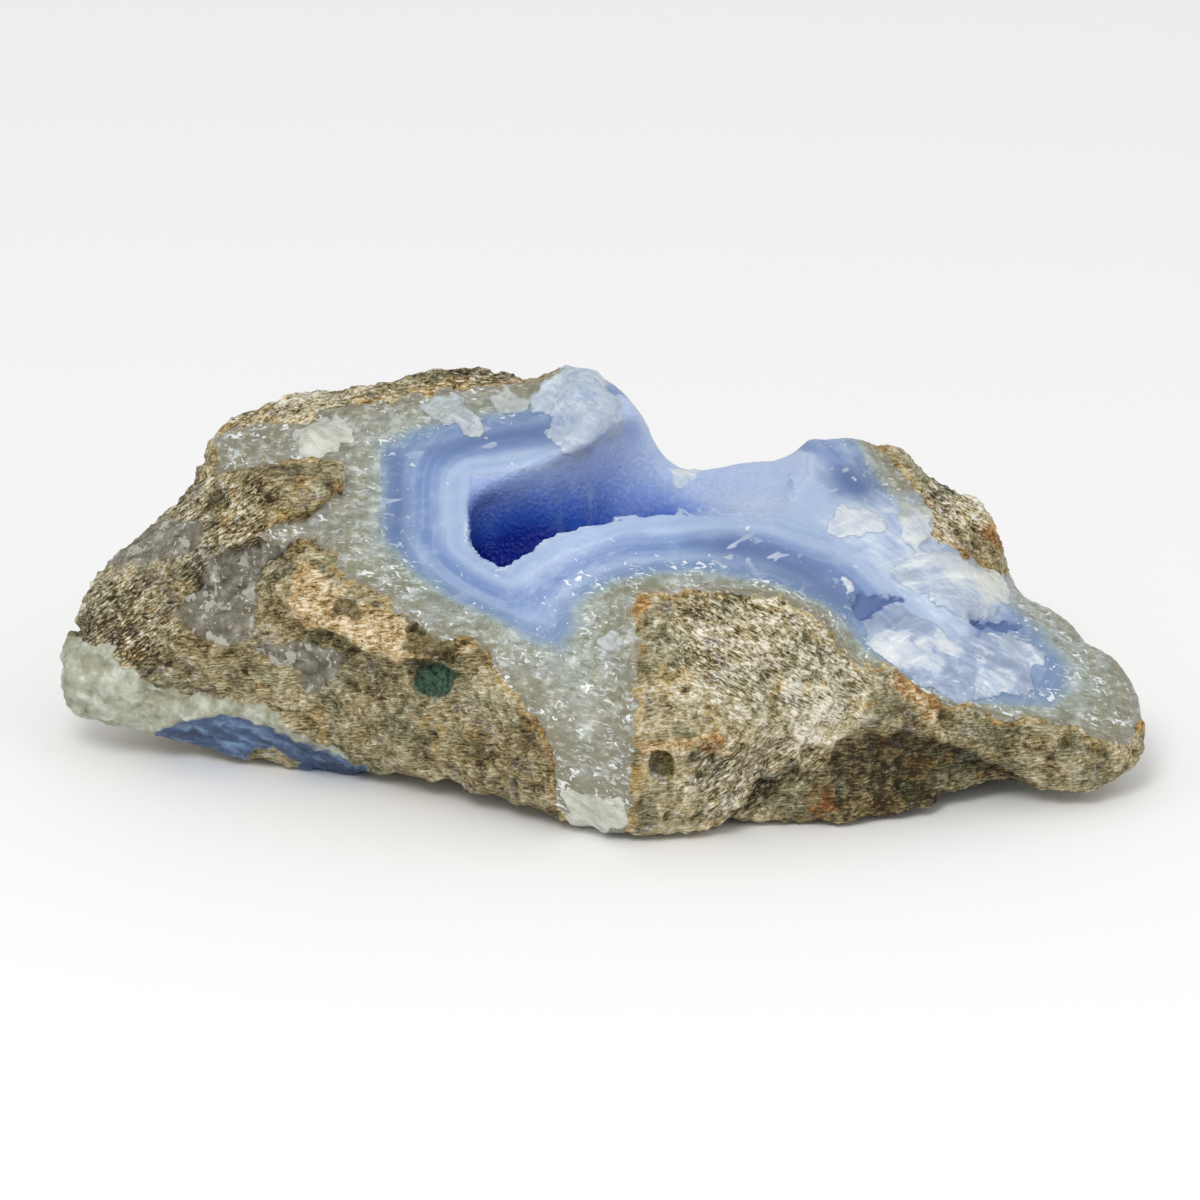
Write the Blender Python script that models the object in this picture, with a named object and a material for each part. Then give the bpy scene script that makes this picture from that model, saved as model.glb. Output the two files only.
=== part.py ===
"""Blue lace agate geode: a broken lump of rind-covered chalcedony with an open, drusy hollow.

Two solids: the stone, which is rind and banded chalcedony grown as one piece, and the crust
of small crystals that lines its hollow.

The stone is laid out as it is seen from its broken side, from VIEW_TILT above the horizon.
A place is (across, depth, rise) in millimetres: across is to the right, depth is away along
the ground, and rise is upwards in the tilted view. Under and behind the stone, where no
view reaches, a place is (across, depth, height) instead.
"""

import math

import bmesh
import bpy
import numpy as np
from mathutils import Vector, noise
from mathutils.bvhtree import BVHTree

MM = 0.001
VIEW_TILT = math.radians(20)
SIGHT = Vector((0, math.cos(VIEW_TILT), -math.sin(VIEW_TILT)))

SEED = 1

# Driving sizes, in millimetres
STATION_STEP = 1.2
STONE_VOXEL = 0.72
STONE_TRIANGLES = 4900
CRUST_GAP = 0.4
CRUST_THICKNESS = 0.9
CRYSTAL_STEEPNESS = 0.5

# Edges of the stone from its left end to its right end, as (across, depth, rise)
FOOT = [
    (-53.7, 3, 5), (-51, 1.6, 4.9), (-44, 1, 4.2), (-40, 1, 2.5), (-36, 1, 1.4), (-30, -1, 0.9),
    (-25, -3.5, 0.6), (-18, -8.3, -0.9), (-10, -14, -2.9), (-4, -18, -4.5), (2, -20.8, -5.9),
    (10, -19.2, -5.4), (16, -16.5, -5.2), (25, -17.5, -5.8), (33, -14, -4.3), (41, -10, -1.8),
    (49, -11, -2.5), (52.5, -8, -0.8), (54, -6.5, 3),
]
LEDGE = [
    (-53.7, 2, 8), (-50, -1, 8), (-44, -1.5, 7.4), (-38, -2.5, 7), (-33, -4, 5.2), (-27, -6, 3),
    (-18, -10.5, 1), (-10, -15.2, -0.5), (-4, -19.6, -1.9), (2, -22.2, -2.4), (10, -21.5, -1.5),
    (16, -19, -1.2), (25, -17, -1.2), (33, -14.5, -0.6), (41, -11.5, 0.2), (49, -12, -1.4),
    (52.5, -9, 0.3), (54, -7, 3.3),
]
WAIST = [
    (-53.7, 2, 9.6), (-51.5, 0.4, 12), (-48, -2, 11), (-44, -3, 11.2), (-38, -4.5, 12), (-31, -6.5, 14.5),
    (-26, -9, 12.8), (-21, -12, 10.6), (-16, -14.2, 10.3), (-12, -16, 10), (-8, -18, 6.5),
    (-4, -20.6, 3.5), (0, -21.8, 2.5), (4, -22.6, 3), (10, -22.4, 4.5), (15, -21, 6),
    (20, -19, 6.3), (25, -17.5, 5.2), (30, -16, 4), (35, -14.8, 3), (40, -13.6, 1.6),
    (45, -13, 0.6), (49, -12.6, 0), (52.5, -9, 1.4), (54, -7, 3.6),
]
RIND_EDGE = [
    (-53.4, 1.5, 11.2), (-51.5, 1, 13.4), (-48, -1, 15), (-44, -1.5, 17), (-38, -2, 19),
    (-32, -2, 21), (-27, -3.5, 20.3),
    (-22, -6.5, 18.3), (-17, -9.8, 15.3), (-12, -13.2, 12.4), (-8, -16.2, 9.3), (-4, -18, 8.3),
    (0, -17.8, 10), (3, -16.5, 15), (8, -13.6, 18.6), (14, -12, 18.8), (20, -12, 16.8),
    (25, -12.4, 12.5), (30, -12, 8.5), (35, -11.5, 5.6), (40, -11.6, 4.2), (45, -11.6, 3.2),
    (50, -11, 1.8), (52.5, -8, 2.8), (54, -6.5, 4.2),
]
RIM = [
    (-53.4, 2.5, 11.6), (-51.5, 2.5, 15), (-48, 2, 17.5), (-44, 2.2, 20), (-40, 3, 23.5),
    (-34, 4, 27), (-27, 3.5, 27.5),
    (-20, 0.5, 24), (-13, -6, 20.6), (-9, -9, 20.4), (-4, -8.5, 23.4), (2, -7, 25.6),
    (10, -4.8, 26.2), (16, -3, 25.8), (20, -2.4, 24.6), (25, -2.2, 21.6), (30, -3, 18),
    (35, -5, 13.5), (40, -6, 10), (45, -6.2, 8), (50, -6.6, 6.4), (52.5, -5.5, 5.2), (54, -5.5, 5),
]
SLOPE = [
    (-53.4, 3.5, 12), (-51.5, 4, 16), (-48, 4.5, 19.5), (-44, 5, 22), (-40, 6.5, 26), (-38, 7.5, 29),
    (-30, 8, 31.5), (-20, 6.5, 31), (-13, 3.5, 30), (-9, 2.5, 30.6), (-4, 2.5, 32), (2, 3, 33),
    (10, 4, 30), (16, 4.5, 29.5), (20, 5, 29.5), (25, 5.2, 28), (30, 4.5, 24.5), (35, 3, 19.5),
    (40, 1.5, 14.6), (45, -1.5, 12), (50, -3.5, 8.8), (52.5, -4, 6.8), (54, -4.6, 5.5),
]
BREAK_TOP = [
    (-53.4, 4.5, 12.3), (-52.4, 5, 13.6), (-51.4, 5.5, 16.6), (-48, 6.5, 20.5), (-44, 8, 23),
    (-40.6, 9.5, 26),
    (-39.6, 11, 31), (-37, 12, 33.8), (-30, 12.5, 34.7), (-20, 12.5, 36.9), (-12, 12.5, 38.2),
    (-5.5, 12.3, 38.6), (-2.5, 11, 39.4), (1, 11, 37.6), (4, 11, 35), (5.6, 11.5, 31),
    (7.5, 12, 29.4), (11, 12.5, 29.3), (15, 12.5, 30.6), (18, 12.5, 30.4), (20.5, 12.5, 32.2),
    (25, 12.5, 33), (30, 12.5, 30.6), (34.5, 11.5, 26), (38.5, 9.5, 21.4), (40.5, 8, 18.4),
    (43, 5, 15.8), (48, 0.8, 12), (52.5, -2.5, 8.4), (54, -4, 6),
]
CREST = [
    (-53.4, 6, 12.4), (-52.4, 7, 13.8), (-51.5, 8, 17), (-48.5, 10, 21.6), (-44, 12, 24.8), (-41, 13.5, 27.6),
    (-40, 15, 30.5), (-39.4, 16, 33.5), (-37.5, 17, 35), (-33, 18, 37), (-28, 18, 37.9),
    (-20.5, 18, 39.6), (-12, 18, 40.8), (-5.5, 17, 39.3), (-2.5, 14, 40.1), (1, 13.8, 38.2),
    (4, 13.8, 35.7), (5.6, 14.2, 32.2), (7, 14.8, 30.1), (11, 15.2, 29.9), (15, 15.2, 31.3),
    (18.4, 15.2, 31), (20.5, 15.2, 32.9), (25, 15.2, 33.8), (28, 15.2, 32.6), (31.5, 15.2, 31.6),
    (34.5, 15, 28.7), (38.5, 14.5, 27.2), (40, 13.6, 25), (40.6, 11.5, 19.8), (42.5, 8.5, 17.2),
    (45, 6, 15.8), (48, 3, 13.2), (51, 0, 11.1), (53, -1.8, 9), (54, -3, 7.2),
]

# Edges behind and under the stone, as (across, depth, height)
SHOULDER = [
    (-53.4, 8.5, 9), (-51, 11, 12.5), (-46, 14, 17), (-40, 19, 22), (-30, 24, 29), (-14, 25, 31),
    (-2, 23, 29.5),
    (10, 21.5, 21.5), (22, 22, 23.5), (32, 21, 20.5), (40, 17, 14), (48, 9, 9.6), (54, -1, 7.6),
]
BACK = [
    (-53.4, 9, 7), (-46, 17.5, 10), (-36, 24.5, 13), (-20, 29.5, 16), (-4, 28.5, 14.5),
    (12, 26, 12), (26, 26.5, 12.5), (38, 21, 8.5), (48, 10, 6), (54, -0.5, 6),
]
HEEL = [
    (-53.4, 7.5, 6.2), (-46, 14, 5), (-36, 19, 4), (-20, 22.5, 3.2), (-4, 22, 2.4), (12, 20.5, 3),
    (26, 19.5, 2.2), (38, 13.5, 3), (48, 5.5, 3), (54, -1.5, 5),
]
SOLE_BACK = [
    (-53.4, 6, 4.8), (-46, 9, 3.6), (-36, 11, 2.2), (-24, 12, 1.2), (-8, 12.5, 0.3),
    (8, 11.5, 1.1), (22, 9, 0.2), (36, 4.5, 1.3), (48, -1, 2.4), (54, -3.5, 4.4),
]
SOLE_FRONT = [
    (-53.4, 4.5, 4.6), (-46, 4, 3.2), (-36, 3.5, 0.8), (-27, 1.5, -0.4), (-14, -3.5, 1.6),
    (-4, -9.5, 1.4), (3, -13, -0.3), (12, -10, 1.3), (22, -10, -0.3), (34, -7, 1.1),
    (48, -6, 1.7), (54, -5.2, 4.4),
]
SEEN_EDGES = [FOOT, LEDGE, WAIST, RIND_EDGE, RIM, SLOPE, BREAK_TOP, CREST]
HIDDEN_EDGES = [SHOULDER, BACK, HEEL, SOLE_BACK, SOLE_FRONT]

# Hollow, from its left end to its right. Its front lip and its top edge are each (depth, rise),
# and it reaches some way below the line between them.
HOLLOW = [
    (-13.6, (-5.4, 23), (-0.8, 27.4), 5), (-12.9, (-6.3, 21.9), (0.9, 28.7), 9),
    (-9.4, (-8.9, 20.3), (1.9, 29.2), 12.5), (-8.2, (-9, 20.8), (2.2, 29.4), 13),
    (-4, (-8.5, 23.4), (3.3, 30), 13.5), (-1, (-7.7, 24.8), (5.2, 32.2), 13),
    (2, (-7, 25.6), (11, 36.4), 12), (4.6, (-6.3, 25.9), (12.6, 33.4), 11.5),
    (7, (-5.6, 26.1), (12.4, 29.2), 10.5), (10, (-4.8, 26.2), (12.4, 29.1), 9.5),
    (14, (-3.5, 26), (12.3, 30), 8.5), (18, (-2.6, 25.3), (11.5, 30.1), 7),
    (21, (-1, 25.4), (9, 30), 5), (24, (0.6, 25.9), (7, 29.4), 4), (26, (1.5, 26.5), (6.2, 29.1), 3.3),
]
HOLLOW_SIDES = 20
HOLLOW_SPACING = 2.1
CRYSTAL_SIDES = 26
CRYSTAL_SPACING = 1.9

# The broken face: chalcedony inside this outline, rind outside, as (across, rise)
BROKEN_FACE = [
    (-38.8, 33.8), (-36.5, 34.5), (-33.8, 35), (-30, 34.6), (-28.2, 35.8), (-25.5, 36.3), (-23, 36.8),
    (-20, 37.2), (-17, 37.8), (-14.5, 38.2), (-12, 38.4), (-9, 38.5), (-6.5, 38.8), (-5, 39.4),
    (-3, 42), (3, 40), (6, 36), (7, 32.5), (15, 33), (20, 35), (25, 36), (26.6, 33), (28, 32),
    (29.3, 30.8), (30.5, 29.2), (31.8, 27.8), (33, 26.5), (33.4, 25), (33.4, 23.5), (35, 22),
    (36.5, 21), (38.5, 20.2), (40.2, 19.2), (42, 19.5), (47, 16.5), (52, 12), (54.5, 9), (55, 6),
    (53.6, 4.6), (52.6, 2.6), (49.5, 3), (46.4, 4.3), (43.4, 5.3), (40.3, 5.1), (38.3, 5.9),
    (36.2, 6.7), (33.4, 6.7), (31.8, 7.9), (30.1, 9.6), (28.5, 10.8), (25.7, 10.6), (24, 12.7),
    (22.5, 14.7), (21, 15.6), (18.6, 16.7), (15.9, 17.5), (13.1, 17.9), (7.5, 18), (3.8, 17.9),
    (2.9, 16.6), (3.1, 14.7), (3.8, 13), (3.7, 9.9), (3.3, 6.2), (3.3, 2.5), (2.6, -1.2), (3.1, -3),
    (2, -8), (-2.5, -8), (-3.2, -4.9), (-4.5, -1.6), (-4.2, 0.7), (-6, 4.4), (-7.3, 6.6), (-8.6, 8.4),
    (-9.7, 10.1), (-11.2, 12.3), (-12.7, 13), (-15.3, 13.2), (-16.9, 13.7), (-18.6, 14.7),
    (-19.8, 15.9), (-21.1, 17.4), (-23.1, 18.4), (-25.1, 19.2), (-26.1, 20.5), (-26.4, 22.2),
    (-28.2, 23), (-30, 23.2), (-32, 22.5), (-33.8, 23.4), (-31.6, 24.5), (-29.3, 25.1),
    (-27.7, 26.4), (-26.1, 27.7), (-25.5, 29.2), (-25.7, 30.4), (-28, 30.7), (-31, 30.4),
    (-34, 30), (-36.5, 30), (-38.5, 30.2), (-39, 31.5),
]

# Broken plates of chalcedony that stand proud of the face: (outline as (across, rise), step)
PLATES = [
    ([(-7, 38.5), (-5.4, 39.5), (-3, 41.5), (1, 39.5), (4.2, 35.5), (4, 32.6), (2, 31.8),
      (0.2, 31.6), (-1.2, 31.8), (-1.6, 33.1), (-2.7, 33.6), (-3.4, 34.8), (-3.2, 35.8),
      (-4.2, 36.1), (-5.3, 35.9), (-6.6, 36.6)], 1.1),
    ([(25, 24.5), (28, 26), (31, 25.6), (33, 24), (32.5, 22), (29, 21.5), (26.5, 22.5)], 0.9),
    ([(32, 21.5), (36, 22), (40, 19.5), (41, 17), (38.6, 15.5), (34, 14.5), (31.5, 17.5)], 1.2),
    ([(27, 13), (30, 15.2), (33, 14.2), (37, 12), (42, 10.2), (43.8, 8), (42.5, 6.2), (37, 6.9),
      (33, 7.6), (29.5, 9.6)], 1.1),
    ([(-17.5, 36), (-14, 37), (-12.2, 35.4), (-13.6, 33.8), (-16, 34.6)], 0.8),
    ([(-31.4, 33.6), (-28.5, 34.6), (-25.4, 34.4), (-27.5, 31.6), (-30.5, 31.6)], 0.9),
]

# Relief that is seen on the rind: (across, rise, radius, height out of the surface)
LUMPS = [
    (-33, 26.5, 5, 1.1), (-29, 28, 4, 0.7), (-37.5, 21, 3.4, -0.8), (-25, 16, 3.2, 0.6),
    (-16.5, 12.5, 3, 0.5), (9.5, 12, 5.5, 1.0), (7.5, 0.5, 4.5, 0.8), (17, 1.5, 4.2, -1.3),
    (23, -1, 4.4, 0.6), (36, 25, 3.2, 0.6), (38, 22.6, 2.6, 0.5), (47, 1.2, 3, 0.6),
    (-52, 8.5, 2.6, 0.5), (-45, 9, 3, 0.4), (31, 1.5, 3.4, -0.7), (-30, 8, 4, -0.5),
]
PITS = [
    (-25.5, 16.2, 1.0, -1.0), (-17.2, 13.4, 1.5, -0.9), (-17, 8.8, 2.7, -1.5), (9, 16.2, 1.7, -0.8),
    (10.6, 10.5, 2.2, -0.7), (6.4, 0.9, 1.3, -1.0), (-40, 22, 1.6, -0.9), (-38.3, 17.8, 1.4, -0.6),
    (33, 9, 1.2, -0.6), (25, 5, 1.5, -0.5), (14, 14.5, 1.2, -0.5), (-46, 19, 1.5, -0.5),
    (37.4, 8.8, 1.1, -0.5),
]
# Steps and furrows of the rind along a line: ([(across, rise), ...], half width, height)
FURROWS = [
    ([(2.8, 17), (3.3, 11), (3.4, 5), (3.1, -2), (3, -6)], 0.9, 0.9),
    ([(-39.5, 17.5), (-36.5, 20.5), (-32, 23), (-29, 24.4), (-26.4, 26)], 1.3, -0.9),
    ([(-31, 16.5), (-28, 13.6), (-24, 11.6), (-20, 10.6), (-15, 10.9), (-11.5, 12)], 1.0, -0.7),
    ([(13, -5), (14.5, -2), (17, 1.2), (21, 3), (26, 4.4), (31, 4.2)], 1.6, -1.2),
    ([(3.6, 2.3), (7, 2.9), (10.5, 3.2), (13, 2.6)], 0.9, 0.9),
    ([(4, 0.6), (8, 1.4), (12, 1.5)], 0.9, -0.6),
    ([(33, 4.6), (38, 3.2), (43, 2.2), (47.5, -0.4)], 1.1, -0.9),
    ([(-53, 12.8), (-49.5, 10.6), (-45, 8), (-40, 7), (-35, 5), (-28, 2.4)], 0.9, -0.8),
    ([(-50, 18), (-46, 18.8), (-41, 20.4), (-38, 22)], 1.1, -0.6),
]


def seen(across, depth, rise):
    """A place given by its rise in the view, in millimetres."""
    height = (rise - depth * math.sin(VIEW_TILT)) / math.cos(VIEW_TILT)
    return Vector((across, depth, height))


def placed(across, depth, height):
    """A place given by its height over the ground, in millimetres."""
    return Vector((across, depth, height))


def edge_at(edge, place, across):
    """The point of an edge line at one distance across."""
    line = np.array([place(*point) for point in edge])
    return Vector([across] + [float(np.interp(across, line[:, 0], line[:, i])) for i in (1, 2)])


def loft(rings):
    """A closed skin through rings of equally many points, made by extruding the first ring."""
    bm = bmesh.new()
    verts = [bm.verts.new(point) for point in rings[0]]
    edges = [bm.edges.new((a, b)) for a, b in zip(verts, verts[1:] + verts[:1])]
    bmesh.ops.edgeloop_fill(bm, edges=edges)
    for ring in rings[1:]:
        made = bmesh.ops.extrude_edge_only(bm, edges=edges)["geom"]
        fresh = {item for item in made if isinstance(item, bmesh.types.BMVert)}
        edges = [e for e in made if isinstance(e, bmesh.types.BMEdge) and set(e.verts) <= fresh]
        verts = [
            next(e.other_vert(v) for e in v.link_edges if e.other_vert(v) in fresh) for v in verts
        ]
        for vert, point in zip(verts, ring):
            vert.co = point
    bmesh.ops.edgeloop_fill(bm, edges=edges)
    bmesh.ops.recalc_face_normals(bm, faces=bm.faces)
    return bm


def object_from(bm, name):
    """Puts a bmesh in the scene as an object of triangles, and frees it."""
    bmesh.ops.triangulate(bm, faces=bm.faces)
    mesh = bpy.data.meshes.new(name)
    bm.to_mesh(mesh)
    bm.free()
    made = bpy.data.objects.new(name, mesh)
    bpy.context.scene.collection.objects.link(made)
    return made


def add_modifier(obj, kind, **settings):
    modifier = obj.modifiers.new(kind.title(), kind)
    for key, value in settings.items():
        setattr(modifier, key, value)
    return modifier


def apply_modifiers(obj):
    """Keeps the object's shape as its modifiers leave it."""
    graph = bpy.context.evaluated_depsgraph_get()
    mesh = bpy.data.meshes.new_from_object(obj.evaluated_get(graph))
    obj.modifiers.clear()
    obj.data = mesh


def cut(obj, other, operation):
    add_modifier(obj, "BOOLEAN", object=other, operation=operation, solver="EXACT")
    apply_modifiers(obj)


def stone_rings(left, right):
    """Cross-sections of the lump between two places across, with the hollow still filled."""
    count = round((right - left) / STATION_STEP)
    rings = []
    for across in np.linspace(left, right, count + 1):
        corners = [edge_at(edge, seen, across) for edge in SEEN_EDGES]
        corners += [edge_at(edge, placed, across) for edge in HIDDEN_EDGES]
        ring = []
        for corner, following in zip(corners, corners[1:] + corners[:1]):
            ring += [corner, (corner + following) / 2]
        rings.append(ring)
    return rings


def hollow_rings(shrink, sides, spacing):
    """Cross-sections of the hollow, drawn in by shrink millimetres."""
    columns = [[station[0] for station in HOLLOW]]
    columns += [[station[i][j] for station in HOLLOW] for i in (1, 2) for j in (0, 1)]
    columns += [[station[3] for station in HOLLOW]]
    start, end = HOLLOW[0][0], HOLLOW[-1][0]
    rings = []
    for share in np.linspace(0, 1, round((end - start) / spacing) + 1):
        across = start + share * (end - start)
        lip_depth, lip_rise, top_depth, top_rise, deep = (
            float(np.interp(across, columns[0], column)) for column in columns[1:]
        )
        lip = seen(across, lip_depth, lip_rise)
        top = seen(across, top_depth, top_rise)
        along = (top - lip) / 2
        half = along.length * 1.1
        along.normalize()
        out = Vector((0, -along.z, along.y))
        middle = (lip + top) / 2 - out * 0.3 * deep
        inwards = Vector((shrink * (1 - 2 * share), 0, 0))
        ring = []
        for side in range(sides):
            turn = 2 * math.pi * side / sides
            place = middle + along * half * math.cos(turn) + out * 0.7 * deep * math.sin(turn)
            wall = (along * math.cos(turn) / half + out * math.sin(turn) / (0.7 * deep)).normalized()
            ring.append(place + inwards + wall * (0.6 * noise.noise(place / 6) - shrink))
        rings.append(ring)
    return rings


def inside(points, outline):
    """Which of the (across, rise) points lie inside a closed outline."""
    found = np.zeros(len(points), bool)
    for (x0, y0), (x1, y1) in zip(outline, outline[1:] + outline[:1]):
        crosses = (y0 > points[:, 1]) != (y1 > points[:, 1])
        at = x0 + (points[:, 1] - y0) * (x1 - x0) / (y1 - y0 if y1 != y0 else 1)
        found ^= crosses & (points[:, 0] < at)
    return found


def distance_to(points, line, closed):
    """How far points lie from a line through the given places, in any number of dimensions."""
    line = [np.array(place, float) for place in line]
    ends = line[1:] + (line[:1] if closed else [])
    nearest = np.full(len(points), np.inf)
    for start, end in zip(line, ends):
        along = end - start
        share = np.clip((points - start) @ along / max(along @ along, 1e-9), 0, 1)
        away = points - (start + share[:, None] * along)
        nearest = np.minimum(nearest, np.linalg.norm(away, axis=1))
    return nearest


def smooth_step(value):
    value = np.clip(value, 0, 1)
    return value * value * (3 - 2 * value)


class Relief:
    """The stone's surface while it is carved: its points, their normals and what the view shows."""

    def __init__(self, obj):
        self.mesh = obj.data
        self.tree = BVHTree.FromObject(obj, bpy.context.evaluated_depsgraph_get())
        self.points = np.array([v.co for v in self.mesh.vertices])
        self.normals = np.array([v.normal for v in self.mesh.vertices])
        tilt = np.array([0, math.sin(VIEW_TILT), math.cos(VIEW_TILT)])
        self.drawn = np.stack([self.points[:, 0], self.points @ tilt], axis=1)
        self.facing = smooth_step(-self.normals @ np.array(SIGHT) * 4 + 0.4)

    def spot(self, across, rise):
        """The place that the view shows at (across, rise)."""
        start = seen(across, 0, rise) - SIGHT * 100
        place = self.tree.ray_cast(start, SIGHT)[0]
        if place is None:
            place = self.tree.find_nearest(seen(across, 0, rise))[0]
        return place

    def raise_round(self, across, rise, radius, height):
        away = np.linalg.norm(self.points - np.array(self.spot(across, rise)), axis=1)
        self.points += self.normals * (height * smooth_step(1 - away / radius))[:, None]

    def raise_along(self, line, half_width, height):
        places = [self.spot(*place) for place in line]
        away = distance_to(self.points, places, closed=False)
        self.points += self.normals * (height * smooth_step(1 - away / (2 * half_width)))[:, None]

    def raise_plate(self, outline, step):
        """A plate with a steep edge, thickest in its middle."""
        away = distance_to(self.drawn, outline, closed=True)
        within = inside(self.drawn, outline) * smooth_step(away / 0.9)
        self.points += self.normals * (step * within * self.facing)[:, None]

    def broken(self):
        """1 on the broken face, 0 on the rind."""
        away = distance_to(self.drawn, BROKEN_FACE, closed=True)
        signed = np.where(inside(self.drawn, BROKEN_FACE), away, -away)
        return smooth_step(signed / 1.2 + 0.5) * self.facing

    def roughen(self):
        """Lumps and crumbs on the rind, long shallow waves on the chalcedony."""
        broken = self.broken()
        for i, point in enumerate(self.points):
            place = Vector(point)
            lumps = noise.fractal(place / 7, 0.9, 2.0, 3)
            crumbs = noise.noise(place / 1.7) + 0.6 * noise.noise(place / 0.9)
            waves = noise.noise(place / 4.5)
            rind = 0.3 + 0.8 * lumps + 0.55 * crumbs
            height = rind * (1 - broken[i]) + 0.25 * waves * broken[i]
            self.points[i] += self.normals[i] * height

    def finish(self):
        self.mesh.vertices.foreach_set("co", self.points.astype(np.float32).ravel())
        self.mesh.update()


def keep_largest_piece(bm):
    """Removes the crumbs that a cut leaves, also those that hang on by a corner or an edge."""
    left = set(bm.faces)
    pieces = []
    while left:
        front, piece = [left.pop()], set()
        while front:
            face = front.pop()
            piece.add(face)
            near = {f for e in face.edges if e.is_manifold for f in e.link_faces} & left
            left -= near
            front += near
        pieces.append(piece)
    largest = max(pieces, key=len)
    bmesh.ops.delete(bm, geom=[f for f in bm.faces if f not in largest], context="FACES")


def cut_flat_spots(obj):
    """Cuts the stone flat where it reaches below the ground, so that it rests there."""
    bm = bmesh.new()
    bm.from_mesh(obj.data)
    bmesh.ops.bisect_plane(
        bm, geom=bm.verts[:] + bm.edges[:] + bm.faces[:], dist=1e-4, plane_co=(0, 0, 0),
        plane_no=(0, 0, -1), clear_outer=True,
    )
    rims = [edge for edge in bm.edges if edge.is_boundary]
    made = bmesh.ops.holes_fill(bm, edges=rims, sides=0)["faces"]
    bmesh.ops.triangulate(bm, faces=made)
    bm.to_mesh(obj.data)
    bm.free()


def lump_of_stone():
    """The whole stone with its relief, in millimetres, before its hollow is cut."""
    stone = object_from(loft(stone_rings(FOOT[0][0], FOOT[-1][0])), "geode_stone")
    add_modifier(stone, "REMESH", mode="VOXEL", voxel_size=STONE_VOXEL)
    add_modifier(stone, "SMOOTH", factor=0.5, iterations=3)
    apply_modifiers(stone)
    relief = Relief(stone)
    for lump in LUMPS + PITS:
        relief.raise_round(*lump)
    for furrow in FURROWS:
        relief.raise_along(*furrow)
    for plate in PLATES:
        relief.raise_plate(*plate)
    relief.roughen()
    relief.finish()
    add_modifier(stone, "REMESH", mode="VOXEL", voxel_size=STONE_VOXEL)
    apply_modifiers(stone)
    triangles = 2 * len(stone.data.polygons)
    add_modifier(stone, "DECIMATE", ratio=STONE_TRIANGLES / triangles)
    apply_modifiers(stone)
    return stone


def shake(verts, share):
    """Moves points about by a share of the length of their edges."""
    moves = []
    for vert in verts:
        reach = sum(edge.calc_length() for edge in vert.link_edges) / len(vert.link_edges)
        moves.append(noise.noise_vector(vert.co * 1.7) * reach * share)
    for vert, move in zip(verts, moves):
        vert.co += move


def crystal_core():
    """The room left inside the crust: a hollow whose wall is dented by pointed crystals."""
    rings = hollow_rings(CRUST_GAP + CRUST_THICKNESS, CRYSTAL_SIDES, CRYSTAL_SPACING)
    bm = loft(rings)
    shake(bm.verts, 0.16)
    made = bmesh.ops.poke(
        bm, faces=bm.faces, offset=-CRYSTAL_STEEPNESS, use_relative_offset=True
    )
    shake(made["verts"], 0.2)
    return object_from(bm, "crystal_core")


def druse():
    """The crust of crystals on the wall of the hollow, trimmed where the stone is broken."""
    crust = object_from(loft(hollow_rings(CRUST_GAP, HOLLOW_SIDES, HOLLOW_SPACING)), "druse_crust")
    around = object_from(loft(stone_rings(HOLLOW[0][0] - 4, HOLLOW[-1][0] + 4)), "broken_lump")
    core = crystal_core()
    cut(crust, around, "INTERSECT")
    cut(crust, core, "DIFFERENCE")
    bpy.data.objects.remove(around)
    bpy.data.objects.remove(core)
    return crust


def finish_object(obj, offset, colour, roughness):
    """Moves the object to its place, in metres, and gives it a material."""
    bm = bmesh.new()
    bm.from_mesh(obj.data)
    bmesh.ops.triangulate(bm, faces=bm.faces)
    keep_largest_piece(bm)
    bmesh.ops.translate(bm, vec=offset, verts=bm.verts)
    bmesh.ops.scale(bm, vec=(MM, MM, MM), verts=bm.verts)
    bm.to_mesh(obj.data)
    bm.free()
    material = bpy.data.materials.new(obj.name)
    material.use_nodes = True
    shader = material.node_tree.nodes["Principled BSDF"]
    shader.inputs["Base Color"].default_value = (*colour, 1)
    shader.inputs["Roughness"].default_value = roughness
    obj.data.materials.clear()
    obj.data.materials.append(material)


def main():
    noise.seed_set(SEED)
    for old in list(bpy.data.objects):
        bpy.data.objects.remove(old)
    stone = lump_of_stone()
    crust = druse()
    space = object_from(loft(hollow_rings(0, HOLLOW_SIDES, HOLLOW_SPACING)), "hollow_space")
    cut(stone, space, "DIFFERENCE")
    bpy.data.objects.remove(space)
    cut_flat_spots(stone)
    corners = [Vector(corner) for corner in stone.bound_box]
    middle = (corners[0] + corners[6]) / 2
    offset = Vector((-middle.x, -middle.y, 0))
    finish_object(stone, offset, (0.42, 0.38, 0.28), 0.8)
    finish_object(crust, offset, (0.36, 0.44, 0.75), 0.45)


main()
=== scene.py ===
"""Blue lace agate geode: the dressed stone, and the crystals that line its hollow.

Shapes are worked out in drawn millimetres, as the stone is seen from its broken side: x is
across, y is depth away from the eye and z is height. A rise is a height in the tilted view.
"""

import math

import bmesh
import bpy
import numpy as np
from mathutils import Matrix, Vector, noise


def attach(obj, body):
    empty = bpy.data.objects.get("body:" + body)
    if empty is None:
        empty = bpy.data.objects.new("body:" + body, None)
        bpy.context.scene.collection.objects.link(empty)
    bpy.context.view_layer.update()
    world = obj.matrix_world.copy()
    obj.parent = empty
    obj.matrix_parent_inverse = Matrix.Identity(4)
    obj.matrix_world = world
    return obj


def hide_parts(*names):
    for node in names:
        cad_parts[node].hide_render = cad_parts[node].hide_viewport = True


TILT = math.radians(20)
SIGHT = np.array([0, math.cos(TILT), -math.sin(TILT)])
UPRIGHT = np.array([0, math.sin(TILT), math.cos(TILT)])
PER_METRE = 1000
DRAWN_TO_ROW = Vector((-0.032, -2.907, 0))

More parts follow.
